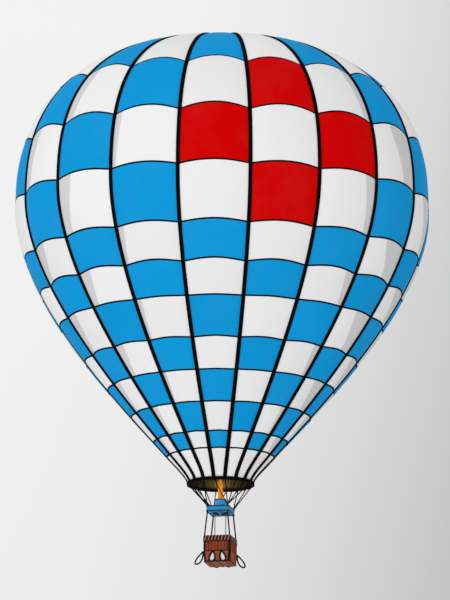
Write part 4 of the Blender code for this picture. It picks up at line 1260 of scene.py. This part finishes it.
def makeLoop(name, anchor, lean, height):
    # strands twisted round the loop's path: each runs on a circle about it, a third of a turn from the next
    path = loopPath(anchor, lean, height)
    along = np.concatenate([[0.0], np.cumsum(np.linalg.norm(np.diff(path, axis=0), axis=1))])
    side = np.cross(np.gradient(path, axis=0), (0.0, 1.0, 0.0))
    side /= np.linalg.norm(side, axis=1)[:, None]
    grids = []
    for strand in range(loops["strands"]):
        twist = (along / loops["pitch"] * 2 * math.pi + strand * 2 * math.pi / loops["strands"])[:, None]
        circle = np.cos(twist) * side + np.sin(twist) * np.array([0.0, 1.0, 0.0])
        middle = path + 0.49 * loops["rope"] * circle
        grids.append(tubed(middle, 0.54 * loops["rope"], 10, reference=(0, 1, 0)))
    rope = buildPiece("rope_handle_" + name, grids, blackRope)
    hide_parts("rope_loop_" + name)
    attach(rope, "balloon")


def makePatch(name, anchor, lean, height):
    # pale canvas inside a loop: the loop's own outline drawn in towards its middle, laid on the hide
    facing = math.copysign(1, anchor[1])
    share = loops["patchMiddle"]
    centre = np.array([anchor[0] + lean * share, 0, anchor[2] - share * height])
    rings = np.linspace(0.0, 1.0, 9)[:, None, None]
    outline = loopPath(anchor, lean, height, 41) - np.array([0, anchor[1], 0])
    flat = centre + (outline - centre) * rings * loops["patch"]
    crowning = loops["patchCrown"] * (1 - rings[..., 0] ** 4)
    surface = basketHalf(flat[..., 2] - baseZ)[1] + basket["hideOut"] + loops["patchOut"] + crowning
    outer = np.stack([flat[..., 0], facing * surface, flat[..., 2]], axis=-1)
    inner = outer - np.array([0, facing * loops["patchThick"], 0])
    grids = [(outer, metresOf(outer)), (inner, None), (np.stack([outer[-1], inner[-1]]), None)]
    patch = buildPiece("chafe_patch_" + name, grids, palePatch)
    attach(patch, "balloon")


def makeLoops(b):
    # two loops on the front and two on the back, each with a patch, and one standing out at each side
    halfX, halfY = (float(v) for v in basketHalf(b["wickerLow"]))
    top = baseZ + b["wickerLow"] - loops["drop"]
    skinY = halfY + b["hideOut"] + loops["gap"] + loops["rope"]
    for name, x, y, lean in (("front_left", -0.15, -skinY, -0.06), ("front_right", 0.20, -skinY, 0.09),
                             ("back_right", 0.15, skinY, 0.06), ("back_left", -0.20, skinY, -0.09)):
        makeLoop(name, (x, y, top), lean, loops["height"])
        makePatch(name, (x, y, top), lean, loops["height"])
    skinX, sideY = halfX + b["hideOut"] + loops["seat"], halfY - loops["cornerInset"]
    for name, side in (("left", -1), ("right", 1)):
        makeLoop(name, (side * skinX, side * sideY, top), side * loops["standOut"], loops["sideHeight"])


makeLoops(basket)
print("rope handles made")

# grey behind the balloon, left to right: a start minus a drop times a power of the share across, low down and
# high up, the drop being painted shade that darkens it to the right; light is the even light all round, with
# its shares from the left, from the right and from below
sky = {"low": (0.855, 0.303, 1.6), "high": (0.895, 0.205, 2.6), "halfWidth": 0.02656,
       "heights": (0.181, 0.2455), "light": 0.76, "fromLeft": 1.16, "fromRight": 0.80, "fromBelow": 1.40}
ground = {"height": -80.0, "rings": (0.0, 60.0, 250.0, 900.0), "grey": (0.80, 0.80, 0.80),
          "stain": (0.78, 0.78, 0.78)}


def makeGround(g):
    # a wide pale disc just below the camera, clear from underneath and casting no shadow
    material, tree, shader = newMaterial("pale_ground", 0.9)
    out = useGroup(tree, mottle, Place=objectPlace(tree), Colour=g["grey"], Stain=g["stain"], Amount=0.2,
                   Scale=0.02, Rough=0.9, Grain=0.02)
    finishWith(tree, shader, out["Colour"])
    join = tree.nodes.new("ShaderNodeMixShader")
    tree.links.new(tree.nodes.new("ShaderNodeNewGeometry").outputs["Backfacing"], join.inputs[0])
    tree.links.new(shader.outputs[0], join.inputs[1])
    tree.links.new(tree.nodes.new("ShaderNodeBsdfTransparent").outputs[0], join.inputs[2])
    tree.links.new(join.outputs[0], tree.nodes["Material Output"].inputs["Surface"])
    disc = turned([(radius, 0.0) for radius in g["rings"]], 96, (0, 0, g["height"]))
    piece = buildPiece("ground", [disc], material, closed=False)
    piece.visible_shadow = False


def makeSky(s):
    # one grey for what the camera sees and an even glow for what lights the balloon, told apart by the ray
    world = bpy.data.worlds.new("sky")
    bpy.context.scene.world = world
    world.use_nodes = True
    tree = world.node_tree
    ray = tree.nodes.new("ShaderNodeTexCoord").outputs["Generated"]
    height = separated(tree, ray)[2]
    turn = math.radians(camera["turn"])
    rightward = (math.cos(turn), math.sin(turn), 0.0)
    right = put(tree, "ShaderNodeVectorMath", ray, rightward, operation="DOT_PRODUCT", out=1)
    # what the camera sees: the two greys, darkened to the right by painted shade, mixed by height
    across = straight(tree, right, -s["halfWidth"], s["halfWidth"])
    greys = []
    for start, drop, power in (s["low"], s["high"]):
        fall = maths(tree, "MULTIPLY", maths(tree, "POWER", across, power), drop)
        greys.append(maths(tree, "SUBTRACT", start, fall))
    seen = greyOf(tree, straight(tree, height, *s["heights"], *greys))
    # what lights the balloon: even, a little brighter from the left and from below
    glow = straight(tree, right, -1.0, 1.0, s["light"] * s["fromLeft"], s["light"] * s["fromRight"])
    glow = maths(tree, "MULTIPLY", glow, straight(tree, height, -1.0, 0.1, s["fromBelow"], 1.0))
    isSeen = tree.nodes.new("ShaderNodeLightPath").outputs["Is Camera Ray"]
    tree.links.new(mixed(tree, isSeen, greyOf(tree, glow), seen), tree.nodes["Background"].inputs["Color"])
    tree.nodes["Background"].inputs["Strength"].default_value = 1.0


# a sun's columns: name, turn from the camera and height in degrees, strength, spread in degrees
lights = {"suns": (("key", -16.0, 0.0, 0.60, 12.0), ("fill", -10.0, -50.0, 0.32, 30.0)),
          "glowPower": 38.0, "glowColour": (1.0, 0.72, 0.30), "glowSize": 0.10,
          "glowPlace": (-0.23, 1.15, -11.06)}


def addLight(name, kind, power):
    # a lamp in the scene, at the origin until it is placed
    lamp = bpy.data.objects.new(name, bpy.data.lights.new(name, kind))
    lamp.data.energy = power
    bpy.context.scene.collection.objects.link(lamp)
    return lamp


def makeLights(s):
    # a soft sun from beside the camera and a weaker one from below, and the burner's own glow in the mouth
    for name, turn, height, power, spread in s["suns"]:
        lamp = addLight(name, "SUN", power)
        lamp.data.angle = math.radians(spread)
        lamp.rotation_euler = (math.radians(90 - height), 0, math.radians(turn + camera["turn"]))
    lamp = addLight("burning", "POINT", s["glowPower"])
    lamp.data.color, lamp.data.shadow_soft_size = s["glowColour"], s["glowSize"]
    lamp.location = s["glowPlace"]


makeGround(ground)
makeSky(sky)
makeLights(lights)
bpy.context.scene.view_settings.view_transform = "Standard"
print("finishing")
